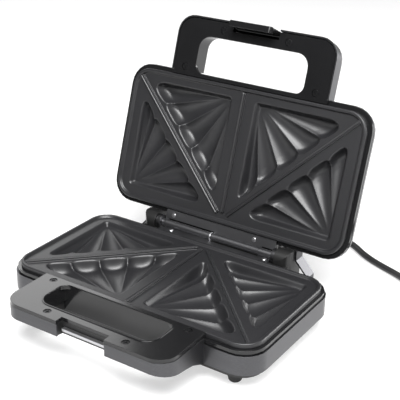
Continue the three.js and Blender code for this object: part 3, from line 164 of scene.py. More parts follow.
def seamless_paper():
    """White seamless paper: matt, and brighter to the camera and in mirrors, so that it meets the page."""
    material, tree = fresh("seamless_paper")
    rays = add(tree, "ShaderNodeLightPath")
    matt = add(tree, "ShaderNodeBsdfDiffuse", {"Color": linear(PAPER)})
    seen = add(tree, "ShaderNodeMath", {
        0: rays.outputs["Is Camera Ray"], 1: rays.outputs["Is Glossy Ray"],
    }, operation="MAXIMUM")
    shown = add(tree, "ShaderNodeMath", {
        0: seen.outputs[0], 1: rays.outputs["Is Transmission Ray"],
    }, operation="MAXIMUM")
    glow = add(tree, "ShaderNodeMath", {0: shown.outputs[0], 1: PAPER_GLOW}, operation="MULTIPLY")
    light = add(tree, "ShaderNodeEmission", {"Strength": glow.outputs[0]})
    both = add(tree, "ShaderNodeAddShader", {0: matt.outputs[0], 1: light.outputs[0]})
    add(tree, "ShaderNodeOutputMaterial", {"Surface": both.outputs[0]})
    return material


def paper_floor():
    """A wide square of paper at the height of the worktop."""
    mesh = bpy.data.meshes.new("paper_floor")
    corners = [(-1, -1), (1, -1), (1, 1), (-1, 1)]
    mesh.from_pydata([(x * FLOOR_HALF, y * FLOOR_HALF, 0) for x, y in corners], [], [(0, 1, 2, 3)])
    mesh.materials.append(seamless_paper())
    floor = bpy.data.objects.new("paper_floor", mesh)
    bpy.context.scene.collection.objects.link(floor)


def surround():
    """A plain grey surround, a shade darker overhead than at the horizon."""
    world = bpy.data.worlds.new("studio")
    world.use_nodes = True
    tree = world.node_tree
    tree.nodes.clear()
    place = add(tree, "ShaderNodeTexCoord")
    way = add(tree, "ShaderNodeSeparateXYZ", {"Vector": place.outputs["Generated"]})
    level = add(tree, "ShaderNodeMapRange", {
        "Value": way.outputs["Z"], "From Min": 0.0, "From Max": OVERHEAD_FROM,
        "To Min": AT_HORIZON, "To Max": OVERHEAD,
    })
    background = add(tree, "ShaderNodeBackground", {"Color": (1, 1, 1, 1), "Strength": level.outputs[0]})
    add(tree, "ShaderNodeOutputWorld", {"Surface": background.outputs[0]})
    bpy.context.scene.world = world


def softbox(name, place, aim, width, height, power):
    """A rectangular lamp that faces its aim."""
    data = bpy.data.lights.new(name, "AREA")
    data.shape = "RECTANGLE"
    data.size = width
    data.size_y = height
    data.energy = power
    lamp = bpy.data.objects.new(name, data)
    lamp.location = place
    lamp.rotation_euler = (Vector(aim) - Vector(place)).to_track_quat("-Z", "Y").to_euler()
    bpy.context.scene.collection.objects.link(lamp)


paper_floor()
surround()
for lamp_settings in LAMPS:
    softbox(*lamp_settings)

# The colour mix node shares its sockets' names with those of its number mix, so they go by position
FIRST_COLOUR, SECOND_COLOUR, MIXED_COLOUR = 6, 7, 2
# the coating's drifts and sprayed grain in mm, and the grain's depth
SPRAY_DRIFT, SPRAY_GRAIN, SPRAY_DEPTH = 40.0, 0.4, 0.05
# streaks of brushing to a metre: 83 mm long and 0.56 mm apart, coarser than real ones so that they show
STREAKS_ALONG, STREAKS_ACROSS = 12.0, 1800.0
STREAK_DEPTH = 0.1
# soft clouds of the plain finishes to a metre, about 33 mm across, and how far they swing the roughness
CLOUDS = 30.0
ROUGHNESS_SWING = 0.12


def grains(size):
    """How many grains of a size in mm there are to a metre, which is a pattern's scale."""
    return 1000 / size


def non_stick_coating():
    """Non-stick coating sprayed on die-cast aluminium: a dark grey base coat with a fine sprayed grain,
    which gives broad, soft-edged lights on the flutes."""
    material, tree = fresh("non_stick_coating")
    place = add(tree, "ShaderNodeTexCoord").outputs["Object"]
    drift = add(tree, "ShaderNodeTexNoise", {"Vector": place, "Scale": grains(SPRAY_DRIFT), "Detail": 3.0})
    spray = add(tree, "ShaderNodeTexNoise", {"Vector": place, "Scale": grains(SPRAY_GRAIN), "Detail": 2.0})
    colour = add(tree, "ShaderNodeMix", {
        "Factor": drift.outputs["Fac"], FIRST_COLOUR: linear("#18181a"), SECOND_COLOUR: linear("#212123"),
    }, data_type="RGBA")
    gloss = add(tree, "ShaderNodeMapRange", {"Value": spray.outputs["Fac"], "To Min": 0.38, "To Max": 0.46})
    bump = add(tree, "ShaderNodeBump", {
        "Height": spray.outputs["Fac"], "Strength": 0.1, "Distance": SPRAY_DEPTH / 1000,
    })
    shader = add(tree, "ShaderNodeBsdfPrincipled", {
        "Base Color": colour.outputs[MIXED_COLOUR], "Roughness": gloss.outputs[0], "Normal": bump.outputs[0],
        "Specular IOR Level": 0.65,
    })
    add(tree, "ShaderNodeOutputMaterial", {"Surface": shader.outputs[0]})
    return material


def brushed_stainless(name, turn):
    """Stainless sheet brushed along its length: fine streaks on the long sides, and others on the end faces
    that run round them, which draw each reflection out across the grain. The turn lays the open lid's
    streaks as they lie on the shut one."""
    material, tree = fresh(name)
    coords = add(tree, "ShaderNodeTexCoord")
    laid = add(tree, "ShaderNodeMapping", {"Vector": coords.outputs["Object"], "Rotation": (turn, 0, 0)})
    lengthwise = add(tree, "ShaderNodeMapping", {
        "Vector": laid.outputs[0], "Scale": (STREAKS_ALONG, STREAKS_ACROSS, STREAKS_ACROSS),
    })
    endwise = add(tree, "ShaderNodeMapping", {
        "Vector": laid.outputs[0], "Scale": (STREAKS_ACROSS, STREAKS_ALONG, STREAKS_ACROSS),
    })
    along = add(tree, "ShaderNodeTexNoise", {"Vector": lengthwise.outputs[0], "Scale": 1.0, "Detail": 3.0})
    across = add(tree, "ShaderNodeTexNoise", {"Vector": endwise.outputs[0], "Scale": 1.0, "Detail": 3.0})
    facing = add(tree, "ShaderNodeSeparateXYZ", {"Vector": coords.outputs["Normal"]})
    side = add(tree, "ShaderNodeMath", {0: facing.outputs["X"]}, operation="ABSOLUTE")
    ends = add(tree, "ShaderNodeMapRange", {"Value": side.outputs[0], "From Min": 0.6, "From Max": 0.8})
    streaks = add(tree, "ShaderNodeMix", {
        "Factor": ends.outputs[0], "A": along.outputs["Fac"], "B": across.outputs["Fac"],
    })
    colour = add(tree, "ShaderNodeMix", {
        "Factor": streaks.outputs[0], FIRST_COLOUR: linear("#48484a"), SECOND_COLOUR: linear("#5e5e60"),
    }, data_type="RGBA")
    gloss = add(tree, "ShaderNodeMapRange", {"Value": streaks.outputs[0], "To Min": 0.28, "To Max": 0.44})
    bump = add(tree, "ShaderNodeBump", {
        "Height": streaks.outputs[0], "Strength": 0.2, "Distance": STREAK_DEPTH / 1000,
    })
    shader = add(tree, "ShaderNodeBsdfPrincipled", {
        "Base Color": colour.outputs[MIXED_COLOUR], "Metallic": 1.0, "Roughness": gloss.outputs[0],
        "Normal": bump.outputs[0],
    })
    add(tree, "ShaderNodeOutputMaterial", {"Surface": shader.outputs[0]})
    return material


def plain_finish(name, dark, light, rough, grain, depth, metallic=0.0):
    """Two close shades in soft clouds, and a surface grain whose size and depth are in mm."""
    material, tree = fresh(name)
    place = add(tree, "ShaderNodeTexCoord").outputs["Object"]
    cloud = add(tree, "ShaderNodeTexNoise", {"Vector": place, "Scale": CLOUDS, "Detail": 4.0})
    skin = add(tree, "ShaderNodeTexNoise", {"Vector": place, "Scale": grains(grain), "Detail": 2.0})
    colour = add(tree, "ShaderNodeMix", {
        "Factor": cloud.outputs["Fac"], FIRST_COLOUR: linear(dark), SECOND_COLOUR: linear(light),
    }, data_type="RGBA")
    gloss = add(tree, "ShaderNodeMapRange", {
        "Value": cloud.outputs["Fac"], "To Min": rough * (1 - ROUGHNESS_SWING),
        "To Max": rough * (1 + ROUGHNESS_SWING),
    })
    bump = add(tree, "ShaderNodeBump", {
        "Height": skin.outputs["Fac"], "Strength": 0.3, "Distance": depth / 1000,
    })
    shader = add(tree, "ShaderNodeBsdfPrincipled", {
        "Base Color": colour.outputs[MIXED_COLOUR], "Metallic": metallic, "Roughness": gloss.outputs[0],
        "Normal": bump.outputs[0],
    })
    add(tree, "ShaderNodeOutputMaterial", {"Surface": shader.outputs[0]})
    return material


COATING = non_stick_coating()
STEEL = brushed_stainless("brushed_stainless", 0.0)
LID_STEEL = brushed_stainless("brushed_stainless_lid", OPENING)
# phenolic moulded in a polished tool: near-black and glossy, with a faint orange peel
GLOSS_BLACK = plain_finish("polished_phenolic", "#121213", "#19191a", 0.15, 3.0, 0.02)
# phenolic moulded in a spark-eroded tool: satin black with a fine even grain
SATIN_BLACK = plain_finish("grained_phenolic", "#161616", "#1e1e1e", 0.42, 0.5, 0.03)
# bright zinc on steel: pale, a little uneven
ZINC = plain_finish("bright_zinc", "#a8a8aa", "#c4c4c6", 0.4, 0.8, 0.02, metallic=1.0)
# black zinc on steel: near-black, with a dull metal shine
BLACK_ZINC = plain_finish("black_zinc", "#3c3c3d", "#4e4e50", 0.35, 0.8, 0.02, metallic=1.0)
# bare pressed steel, tumbled: mid grey
PRESSED_STEEL = plain_finish("pressed_steel", "#5c5c5e", "#727274", 0.34, 0.8, 0.02, metallic=1.0)
# dull nickel on the hinge's pressed leaves: mid grey, with a soft bright line along the barrel
HINGE_STEEL = plain_finish("nickelled_hinge", "#77777a", "#8a8a8c", 0.38, 0.8, 0.02, metallic=1.0)
# hot-dip aluminised sheet: dull silver with a soft spangle
ALUMINISED = plain_finish("aluminised_sheet", "#8e8e8c", "#b2b2b0", 0.42, 2.0, 0.03, metallic=1.0)
# moulded nitrile rubber: matt, very dark grey
RUBBER = plain_finish("moulded_rubber", "#1c1c1c", "#262626", 0.7, 0.6, 0.04)
# extruded PVC sheath: dark grey with a dull shine
SHEATH = plain_finish("extruded_sheath", "#1c1c1d", "#262627", 0.42, 1.5, 0.03)
# unglazed steatite: warm white, dry
STEATITE = plain_finish("unglazed_steatite", "#cfc9bb", "#ddd8cc", 0.75, 0.5, 0.03)
# tinted polycarbonate lenses: clear gloss in one colour
RED_LENS = plain_finish("red_lens", "#8c1410", "#a81c16", 0.12, 2.0, 0.01)
GREEN_LENS = plain_finish("green_lens", "#12702f", "#1a8a3c", 0.12, 2.0, 0.01)

# The angle from which a fold between two faces of a surface stays a sharp edge
SHARP = math.radians(50)


def made(name, mesh, material, body, nodes):
    """A piece from a mesh: it rides on its body and stands for its nodes, if it has any."""
    mesh.materials.append(material)
    piece = bpy.data.objects.new(name, mesh)
    bpy.context.scene.collection.objects.link(piece)
    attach(piece, body)
    if nodes:
        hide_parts(*nodes)
    return piece


def quads(index):
    """The faces between neighbouring rows and columns of a table of point numbers."""
    return np.stack([index[:-1, :-1], index[:-1, 1:], index[1:, 1:], index[1:, :-1]], axis=-1).reshape(-1, 4)


def edge_loop(index):
    """The point numbers round the outside of a grid, once round."""
    return np.concatenate([index[0, :-1], index[:-1, -1], index[-1, :0:-1], index[:0:-1, 0]])


def mesh_of(name, points, faces):
    """A smooth mesh from points in metres and lists of faces."""
    mesh = bpy.data.meshes.new(name)
    mesh.from_pydata(np.asarray(points).tolist(), [], [face for group in faces for face in group.tolist()])
    mesh.polygons.foreach_set("use_smooth", np.ones(len(mesh.polygons), bool))
    return mesh


def outward(mesh):
    """Turns a closed mesh's faces outwards."""
    clean = bmesh.new()
    clean.from_mesh(mesh)
    bmesh.ops.recalc_face_normals(clean, faces=clean.faces)
    clean.to_mesh(mesh)
    clean.free()
    return mesh


def s_curve(t):
    """Rises from 0 to 1 with a level start and a level end."""
    return t * t * (3 - 2 * t)


# Cooking plates: half width, half depth, the radius of a corner and that of the outer edge
HALF_X, HALF_Y, CORNER = 124.5, 64.2, 19.0
EDGE_ROUND = 1.0
# the lip lies level with the seam, and over its last stretch inwards it slopes down to the flat band
LIP_END, LIP_SLOPE = 4.0, 1.0
BAND = -2.2
# the side wall's foot, the thickness of the casting, and the share by which its underside is smaller
WALL_FOOT, CASTING, UNDER_SHARE = -4.0, 2.8, 0.985
# casting rounds the field's edges over a square this wide, sampled this often each way
BLUR, BLUR_SAMPLES = 0.8, 4
# the grid's spacing on the face, and how many of its steps make one on the underside
SPACING, COARSE = 0.66, 4
# each pocket: where its right-angled corner is, which way it opens, its scale, and its fan's turn in mm
POCKETS = [(12.0, -54.0, 1, 1.0, 2.7), (111.0, 52.0, -1, 0.95, 1.0)]
POCKET_CORNER, LEG_WALL, CORNER_DEPTH = 4.0, 4.2, 5.0
# flutes: where they start, the run over which they deepen and by how much, and their bowl's depth
FLUTE_START, FLUTE_RUN, FLUTE_GAIN, FLUTE_BOWL = 12.0, 42.0, 5.0, 9.5
# their pitch and the half width of their ellipse, both at the fan's radius, and the outermost one's number
FAN_RADIUS, PITCH, HALF_FLUTE, OUTERMOST = 62.9, 25.4, 15.0, 2
# how far out they end, how far back the creases and the tips draw that, and the run of a tip
FAN_END, CREASE_BACK, TIP_BACK, TIP_RUN = 66.5, 6.0, 5.5, 12.0
# the end wall's width, and the power that makes it fall steeply and ease out
END_WALL, END_POWER = 7.5, 2.5


def corner_distance(across, along, radius):
    """Distance in from two edges that meet in a round corner: to the nearer one, or near the corner its
    radius less the reach from the arc's centre."""
    rounded = radius - np.hypot(np.maximum(radius - across, 0), np.maximum(radius - along, 0))
    return np.where((across < radius) & (along < radius), rounded, np.minimum(across, along))


def edge_distance(x, y):
    """Distance in from the plate's outline."""
    return corner_distance(HALF_X - np.abs(x), HALF_Y - np.abs(y), CORNER)


def pocket_depth(x, y):
    """Depth of the fan-shaped pockets. Each has a rounded right-angled corner, where the floor is flat, and
    two straight legs whose walls fall in an S. Further out five flutes spread from the corner, part of an
    ellipse across, and deepen. Their ends are almost straight, turn back at the creases and still more at
    the two tips, and the end wall falls steeply, then eases out."""
    depth = np.zeros_like(x)
    for corner_x, corner_y, way, size, turn in POCKETS:
        a = (np.abs(x) - corner_x) * way / size
        b = (y - corner_y) * way / size
        out = np.maximum((a + b) / math.sqrt(2), 1e-3)
        sweep = (a - b) / math.sqrt(2) * FAN_RADIUS / out + turn
        number = np.clip(np.round(sweep / PITCH), -OUTERMOST, OUTERMOST)
        t = (sweep - PITCH * number) / HALF_FLUTE
        grown = np.clip((out - FLUTE_START) / FLUTE_RUN, 0, 1)
        bowl = FLUTE_BOWL * (1 - np.sqrt(np.clip(1 - t * t, 0, 1)))
        flute = CORNER_DEPTH + grown * (FLUTE_GAIN - bowl)
        tip = np.clip((np.abs(sweep) - OUTERMOST * PITCH) / TIP_RUN, 0, 1)
        end = FAN_END - CREASE_BACK * t ** 4 - TIP_BACK * tip * tip
        end_wall = 1 - (1 - np.clip((end - out) / END_WALL, 0, 1)) ** END_POWER
        leg = np.clip(corner_distance(a, b, POCKET_CORNER) / LEG_WALL, 0, 1)
        depth = np.maximum(depth, flute * end_wall * s_curve(leg) * size)
    return depth


def plate_field(x, y):
    """Height inside the rim: the band, less the pockets, up to the lip at the edge."""
    lip = np.clip((LIP_END - edge_distance(x, y)) / LIP_SLOPE, 0, 1)
    return (BAND - pocket_depth(x, y)) * (1 - lip)


def plate_height(x, y):
    """The field averaged over a small square, which rounds its edges as casting does, and a round rim."""
    offsets = np.linspace(-BLUR / 2, BLUR / 2, BLUR_SAMPLES)
    field = np.mean([plate_field(x + i, y + j) for i in offsets for j in offsets], axis=0)
    rim = np.clip(1 - edge_distance(x, y) / EDGE_ROUND, 0, 0.999)
    return field - EDGE_ROUND * (1 - np.sqrt(1 - rim ** 2))


def steps(length):
    """The number of grid steps along a length, as a multiple of the underside's step."""
    return COARSE * round(length / SPACING / COARSE)


def plate_grid():
    """Points over the plate: rows run from edge to edge of the rounded rectangle, closer at its ends."""
    middle = HALF_Y - CORNER
    straight = np.linspace(-middle, middle, steps(2 * middle) + 1)
    turn = np.linspace(0, math.pi / 2, steps(4 / 3 * CORNER) + 1)[1:]
    bent = middle + CORNER * np.sin(turn)
    y = np.concatenate([-bent[::-1], straight, bent])
    past = np.maximum(np.abs(y) - middle, 0)
    half = HALF_X - CORNER + np.sqrt(np.maximum(CORNER ** 2 - past ** 2, 0))
    u = np.linspace(-1, 1, steps(2 * HALF_X) + 1)
    return u[None, :] * half[:, None], np.repeat(y[:, None], len(u), axis=1)


def cooking_plate(name, lid):
    """One plate: the fluted face, a side wall down to its foot and the cast underside, which follows the
    face on a coarser grid. A zip of triangles joins the foot's points to the underside's fewer ones."""
    x, y = plate_grid()
    face = np.stack([x, y, plate_height(x, y)], axis=-1)
    under = face[::COARSE, ::COARSE] * (UNDER_SHARE, UNDER_SHARE, 1)
    under[..., 2] = np.minimum(under[..., 2] - CASTING, WALL_FOOT)
    index = np.arange(x.size).reshape(x.shape)
    rim = edge_loop(index)
    wall = face.reshape(-1, 3)[rim] * (1, 1, 0) + (0, 0, WALL_FOOT)
    foot = np.arange(len(rim)) + x.size
    next_foot = np.roll(foot, -1)
    under_index = np.arange(under[..., 0].size).reshape(under.shape[:2]) + x.size + len(rim)
    under_rim = edge_loop(under_index)
    near = ((np.arange(len(rim)) + COARSE // 2) // COARSE) % len(under_rim)
    after = np.roll(near, -1)
    skirt = np.stack([rim, foot, next_foot, np.roll(rim, -1)], axis=-1)
    zip_down = np.stack([foot, under_rim[near], next_foot], axis=-1)
    zip_up = np.stack([next_foot, under_rim[near], under_rim[after]], axis=-1)[near != after]
    points = np.concatenate([face.reshape(-1, 3), wall, under.reshape(-1, 3)])
    faces = [quads(index), skirt, zip_down, zip_up, quads(under_index)[:, ::-1]]
    if lid:
        faces = [group[:, ::-1] for group in faces]
    mesh = mesh_of(name, in_place(points, lid), faces)
    mesh.set_sharp_from_angle(angle=SHARP)
    node = "upper_plate" if lid else "lower_plate"
    return made(name, mesh, COATING, "lid" if lid else "base", [node])


cooking_plate("fluted_plate_lower", False)
cooking_plate("fluted_plate_upper", True)


def arc(centre, radius, first, last, count):
    """Points (across, up) on an arc from one angle to another in degrees; two radii make it an ellipse."""
    angle = np.radians(np.linspace(first, last, count))
    return np.array(centre) + np.array(radius) * np.stack([np.cos(angle), np.sin(angle)], axis=-1)


def swept(path, profile):
    """Rings of a closed profile (across, up) along a path, standing upright across it."""
    ahead = np.gradient(path, axis=0)
    ahead /= np.linalg.norm(ahead, axis=1, keepdims=True)
    across = np.cross(ahead, (0, 0, 1.0))
    across /= np.linalg.norm(across, axis=1, keepdims=True)
    up = np.cross(across, ahead)
    profile = np.broadcast_to(profile, (len(path),) + np.shape(profile)[-2:])
    return path[:, None] + profile[..., :1] * across[:, None] + profile[..., 1:] * up[:, None]


def capped_tubes(name, tubes, lid=False):
    """Closed tubes from lists of rings: quads between the rings and a fan at each end."""
    points, faces, offset = [], [], 0
    for rings in tubes:
        count, sides = rings.shape[:2]
        index = np.arange(count * sides).reshape(count, sides) + offset
        wrapped = np.concatenate([index, index[:, :1]], axis=1)
        first, last = offset + count * sides, offset + count * sides + 1
        near = np.stack([wrapped[0, :-1], wrapped[0, 1:], np.full(sides, first)], axis=-1)
        far = np.stack([wrapped[-1, 1:], wrapped[-1, :-1], np.full(sides, last)], axis=-1)
        points += [rings.reshape(-1, 3), rings[[0, -1]].mean(axis=1)]
        faces += [quads(wrapped), near, far]
        offset += count * sides + 2
    return outward(mesh_of(name, in_place(np.concatenate(points), lid), faces))


def closed_band(name, points):
    """A mesh from a grid of points whose rows and columns each join up end to end."""
    index = np.arange(points[..., 0].size).reshape(points.shape[:2])
    index = np.pad(index, ((0, 1), (0, 1)), mode="wrap")
    return outward(mesh_of(name, placed(points.reshape(-1, 3)), [quads(index)]))


# Sealing ridges: the V's ends and the middle ridge's, on the right half, and the length of a rounded end
V_BACK, V_FRONT = (5.0, 55.0), (117.0, -57.0)
MIDDLE_BACK, MIDDLE_FRONT = (0.0, 54.0), (0.0, -60.0)
RIDGE_END = 1.8
# half of a ridge's profile, across and up from the band: its sunk side, hollow foot, round edge and groove
HALF_RIDGE = np.concatenate([
    [(2.3, -0.6)], arc((2.3, 0.45), (0.5, 0.48), 270, 180, 5), arc((1.4, 1.45), 0.4, 0, 90, 5),
    [(1.05, 1.8), (0.7, 1.5), (0.35, 1.27)],
])
# how a ridge's end grows: the distance in as a share of the rounded end, the width and the height
RIDGE_GROWTH = np.array([(0, 0.3, 0.2), (1 / 9, 0.7, 0.66), (7 / 18, 0.93, 0.93), (1, 1, 1)])


def ridge_bar(back, front):
    """A straight ridge on the band: 3.6 mm wide with almost upright flanks between round top edges and
    hollow feet, a groove 0.6 mm deep along its crest, and its ends rounded off."""
    profile = np.concatenate([HALF_RIDGE, HALF_RIDGE[::-1] * (-1, 1)])
    back, front = np.array(back + (BAND,)), np.array(front + (BAND,))
    length = np.linalg.norm(front - back)
    reach = RIDGE_END * RIDGE_GROWTH[:, 0]
    reach = np.concatenate([reach, length - reach[::-1]])
    size = np.concatenate([RIDGE_GROWTH[:, 1:], RIDGE_GROWTH[::-1, 1:]])
    path = back + (front - back) / length * reach[:, None]
    return swept(path, profile * size[:, None])


def sealing_ridges(name, lid):
    """The ridges that seal the bread: a V from the middle of the back edge to the front corners, and one
    down the middle line, each with its own end beside the others."""
    bars = [ridge_bar((side * V_BACK[0], V_BACK[1]), (side * V_FRONT[0], V_FRONT[1])) for side in (-1, 1)]
    bars.append(ridge_bar(MIDDLE_BACK, MIDDLE_FRONT))
    mesh = capped_tubes(name, bars, lid)
    mesh.set_sharp_from_angle(angle=SHARP)
    return made(name, mesh, COATING, "lid" if lid else "base", [])


sealing_ridges("sealing_ridges_lower", False)
sealing_ridges("sealing_ridges_upper", True)

# The lower hand opening's rim: its half width, front and back, and the radii of its corners there
RIM_HALF_X, RIM_FRONT, RIM_BACK = 57.5, -104.0, -70.5
RIM_FRONT_RADIUS, RIM_BACK_RADIUS = 12.0, 8.0
RIM_TURN = 9
# its profile, outwards and up: a bar 1.6 mm wide with round top edges
RIM_PROFILE = np.concatenate([
    [(1.6, 0.9)], arc((1.2, 1.3), 0.4, 0, 90, 4), arc((0.45, 1.3), 0.4, 90, 180, 4), [(0.05, 0.9)],
])


def opening_rim():
    """The raised rim of the opening's lining, 0.5 mm proud. Each point of the profile gives the opening's
    rounded rectangle, grown by that point's distance outwards, at its height."""
    out, z = RIM_PROFILE.T[:, :, None, None]
    side, inward = np.array([(1, 1), (1, -1), (-1, -1), (-1, 1)]).T[:, :, None]
    front = inward == 1
    radius = np.where(front, RIM_FRONT_RADIUS, RIM_BACK_RADIUS)
    first = np.radians([[-90], [0], [90], [180]])
    angle = first + np.linspace(0, math.pi / 2, RIM_TURN)
    x = side * (RIM_HALF_X - radius) + (radius + out) * np.cos(angle)
    y = np.where(front, RIM_FRONT, RIM_BACK) + inward * radius + (radius + out) * np.sin(angle)
    points = np.stack(np.broadcast_arrays(x, y, z), axis=-1).reshape(len(RIM_PROFILE), -1, 3)
    mesh = closed_band("opening_rim", points)
    return made("opening_rim", mesh, GLOSS_BLACK, "base", [])


opening_rim()

# The ring at the end of the base's long knuckle: where it sits, and its profile along and out
RING_X = -5.86
RING_PROFILE = np.array([(-0.9, 3.4), (-0.9, 3.9), (-0.7, 4.1), (0.7, 4.1), (0.9, 3.9), (0.9, 3.4)])
RING_SIDES = 48


def hinge_ring():
    """A ring round the hinge barrel, 1.8 mm wide and 0.5 mm proud, turned from its profile."""
    along, radius = RING_PROFILE.T[:, :, None]
    angle = 2 * math.pi * np.arange(RING_SIDES) / RING_SIDES
    y, z = HINGE[1] + radius * np.cos(angle), HINGE[2] + radius * np.sin(angle)
    points = np.stack(np.broadcast_arrays(RING_X + along, y, z), axis=-1)
    return made("hinge_ring", closed_band("hinge_ring", points), ZINC, "base", [])


hinge_ring()

# The mains lead's route from the gland to the coil, chosen to bend no tighter than it may
CORD_RADIUS, CORD_SIDES = 3.2, 16
ROUTE = [
    (40, 125.6, -20), (40, 133, -20.2), (39.8, 143, -21.8), (39.3, 153, -25.2), (38.8, 163, -29.4),
    (38.4, 172, -33.2), (38.2, 179.6, -35.7), (38.2, 186.9, -37.2), (39.3, 194.6, -38.1),
    (42.5, 201.7, -38.5), (47.5, 207.7, -38.6), (53.9, 212.1, -38.6), (61.3, 214.5, -38.6),
    (69.1, 214.7, -38.6), (76.7, 212.9, -38.6), (83.4, 209, -38.6), (89.8, 204.1, -38.6),
    (96.4, 198.9, -38.6), (104, 194, -38.6), (112.5, 189.6, -38.6), (126.8, 183.4, -38.5),
    (142.4, 177, -38),
]
# the lead's straight start inside the housing, its two points before the coil, and its end in the plug
LEAD_START = (0, -24.0, 0)
COIL_ENTRIES = np.array([[20.0], [6.4]])
COIL_EXIT = (26.0, 0, 0)
# the coil: its middle, outer radius and pitch, the angle where it starts in degrees, its turns and steps
COIL_MIDDLE = (189.0, 202.0, -37.3)
COIL_OUTER, COIL_PITCH = 39.0, 7.2
COIL_ANGLE, COIL_TURNS, COIL_STEPS = -108.0, 3.05, 84
# the loose part is sampled finely, averaged over so many samples on each side, and thinned again
FINE, SAMPLES, ROUNDS, THINNED = 0.5, 13, 2, 8


def coil_line():
    """The coil's centre line: its radius shrinks by the pitch each turn to the middle and grows again,
    and it climbs one pitch in the middle half turn."""
    turns = np.linspace(0, COIL_TURNS, COIL_STEPS)
    past = turns - COIL_TURNS / 2
    radius = COIL_OUTER - COIL_PITCH * (COIL_TURNS / 2 - np.abs(past))
    angle = np.radians(COIL_ANGLE + 360 * turns)
    climb = COIL_PITCH * s_curve(np.clip((past + 0.25) / 0.5, 0, 1))
    return np.array(COIL_MIDDLE) + np.stack([radius * np.cos(angle), radius * np.sin(angle), climb], axis=-1)


def evened(points):
    """A smooth line through points, evenly spaced: linear between them, then averaged over 13.5 mm twice."""
    reach = np.concatenate([[0], np.cumsum(np.linalg.norm(np.diff(points, axis=0), axis=1))])
    fine = np.linspace(0, reach[-1], int(reach[-1] / FINE))
    line = np.stack([np.interp(fine, reach, points[:, k]) for k in range(3)], axis=-1)
    width = 2 * SAMPLES + 1
    for _ in range(ROUNDS):
        before = 2 * line[:1] - line[SAMPLES:0:-1]
        beyond = 2 * line[-1:] - line[-2:-2 - SAMPLES:-1]
        sums = np.cumsum(np.concatenate([np.zeros((1, 3)), before, line, beyond]), axis=0)
        line = (sums[width:] - sums[:-width]) / width
    return line[::THINNED]


def lead_line():
    """The lead's centre line: from inside the housing out, down, round, into its coil and to the plug."""
    coil = coil_line()
    entry = coil[0] + (coil[0] - coil[1]) / np.linalg.norm(coil[0] - coil[1]) * COIL_ENTRIES
    loose = evened(np.concatenate([ROUTE, entry, coil[:1]]))
    return np.concatenate([loose[:1] + LEAD_START, loose[:-1], coil, coil[-1:] + COIL_EXIT])


def mains_lead(line):
    """The lead's sheath in one length, round all the way."""
    circle = arc((0, 0), CORD_RADIUS, 0, 360, CORD_SIDES + 1)[:-1]
    mesh = capped_tubes("mains_lead", [swept(line, circle)])
    return made("mains_lead", mesh, SHEATH, "base", ["cord", "cord_coil"])


# Strain relief: where it starts, how far back it runs, and its radii at the flange, the root and the tip
RELIEF_START = (40.0, 95.4, -20.0)
RELIEF_RUN = (0, 29.6, 0)
RELIEF_FLANGE, RELIEF_ROOT, RELIEF_TIP = 6.4, 5.5, 4.2
# the shares of its length where the flange ends and where the grooves start and end
FLANGE_END, GROOVES_START, GROOVES_END = 0.085, 0.15, 0.92
GROOVES, GROOVE_DEPTH, GROOVE_STEEPNESS = 6.5, 0.9, 3
RELIEF_RINGS, RELIEF_SIDES = 97, 28


def strain_relief():
    """A tapered sleeve round the lead where it leaves: a flange, then grooves with steep sides, a clipped
    sine along the sleeve, down to the tip."""
    along = np.linspace(0, 1, RELIEF_RINGS)
    wave = np.clip(np.sin(along * 2 * math.pi * GROOVES) * GROOVE_STEEPNESS, -1, 1)
    groove = np.where((along > GROOVES_START) & (along < GROOVES_END), (wave - 1) * GROOVE_DEPTH / 2, 0)
    radius = RELIEF_ROOT + (RELIEF_TIP - RELIEF_ROOT) * along + groove
    radius = np.where(along < FLANGE_END, RELIEF_FLANGE, radius)
    path = np.array(RELIEF_START) + along[:, None] * RELIEF_RUN
    circle = arc((0, 0), 1, 0, 360, RELIEF_SIDES + 1)[:-1]
    mesh = capped_tubes("strain_relief_sleeve", [swept(path, circle * radius[:, None, None])])
    mesh.set_sharp_from_angle(angle=SHARP)
    return made("strain_relief_sleeve", mesh, RUBBER, "base", ["strain_relief"])


centre_line = lead_line()
lead = mains_lead(centre_line)
strain_relief()

# Carried-over solids: points nearer than this in metres are merged, and faces nearer in angle are joined
MERGE = 0.00001
FLAT = math.radians(0.8)
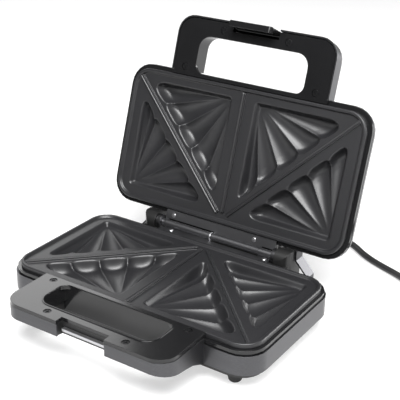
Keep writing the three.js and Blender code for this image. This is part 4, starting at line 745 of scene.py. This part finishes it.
# only edges sharper than this are rounded
ROUNDED_FROM = math.radians(32)
SLOTS = {part["node"]: part["material_slot"] for part in frame["record"]["subparts"]}
SLOT_FINISH = {
    "steel": STEEL, "bright_steel": ZINC, "aluminised": ALUMINISED, "gloss_black": GLOSS_BLACK,
    "satin_black": SATIN_BLACK, "rubber": RUBBER, "ceramic": STEATITE, "red_lens": RED_LENS,
    "green_lens": GREEN_LENS,
}
NODE_FINISH = {
    "lid_shell": LID_STEEL, "hinge_leaf_base": HINGE_STEEL, "hinge_leaf_lid": HINGE_STEEL,
    "hinge_collar_left": PRESSED_STEEL, "hinge_collar_right": PRESSED_STEEL, "latch_strike": ZINC,
}
# the width in mm to which a solid's edges are rounded, and that of every other one
EDGES = {
    "base_shell": 0.5, "lid_shell": 0.5, "base_frame": 0.12, "lid_frame": 0.6, "base_grip": 0.6,
    "lid_grip": 0.6, "bottom_cover": 0.5, "hinge_housing": 0.8, "latch": 0.3, "plug": 1.0, "hinge_pin": 0.3,
    "hinge_leaf_base": 0.25, "hinge_leaf_lid": 0.25, "hinge_cheek_left": 0.3, "hinge_cheek_right": 0.3,
    "foot_front_left": 0.3, "foot_front_right": 0.3, "foot_rear_left": 0.3, "foot_rear_right": 0.3,
}
SMALL_EDGE = 0.15
DRAWN_ANEW = {"lower_plate", "upper_plate", "cord", "cord_coil", "strain_relief"}


def eased(node, material, edge):
    """A merged copy of a CAD solid: flat faces joined, its sharp edges rounded by a small width."""
    solid = frame["nodes"][node]
    clean = bmesh.new()
    clean.from_mesh(solid.data)
    bmesh.ops.remove_doubles(clean, verts=clean.verts, dist=MERGE)
    bmesh.ops.dissolve_limit(clean, angle_limit=FLAT, verts=clean.verts, edges=clean.edges)
    mesh = bpy.data.meshes.new("eased_" + node)
    clean.to_mesh(mesh)
    clean.free()
    mesh.polygons.foreach_set("use_smooth", np.ones(len(mesh.polygons), bool))
    piece = made("eased_" + node, mesh, material, solid["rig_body"], [node])
    bevel = piece.modifiers.new("edge", "BEVEL")
    bevel.width = edge / 1000
    bevel.segments = 2
    bevel.limit_method = "ANGLE"
    bevel.angle_limit = ROUNDED_FROM
    bevel.harden_normals = True
    weigh = piece.modifiers.new("weigh", "WEIGHTED_NORMAL")
    weigh.keep_sharp = True
    return piece


def finish_of(node, slot):
    """A solid's finish: the screws are black, some solids have their own, and the rest follow their slot."""
    return BLACK_ZINC if "_screw_" in node else NODE_FINISH.get(node) or SLOT_FINISH[slot]


pieces = {
    node: eased(node, finish_of(node, slot), EDGES.get(node, SMALL_EDGE))
    for node, slot in SLOTS.items() if node not in DRAWN_ANEW
}
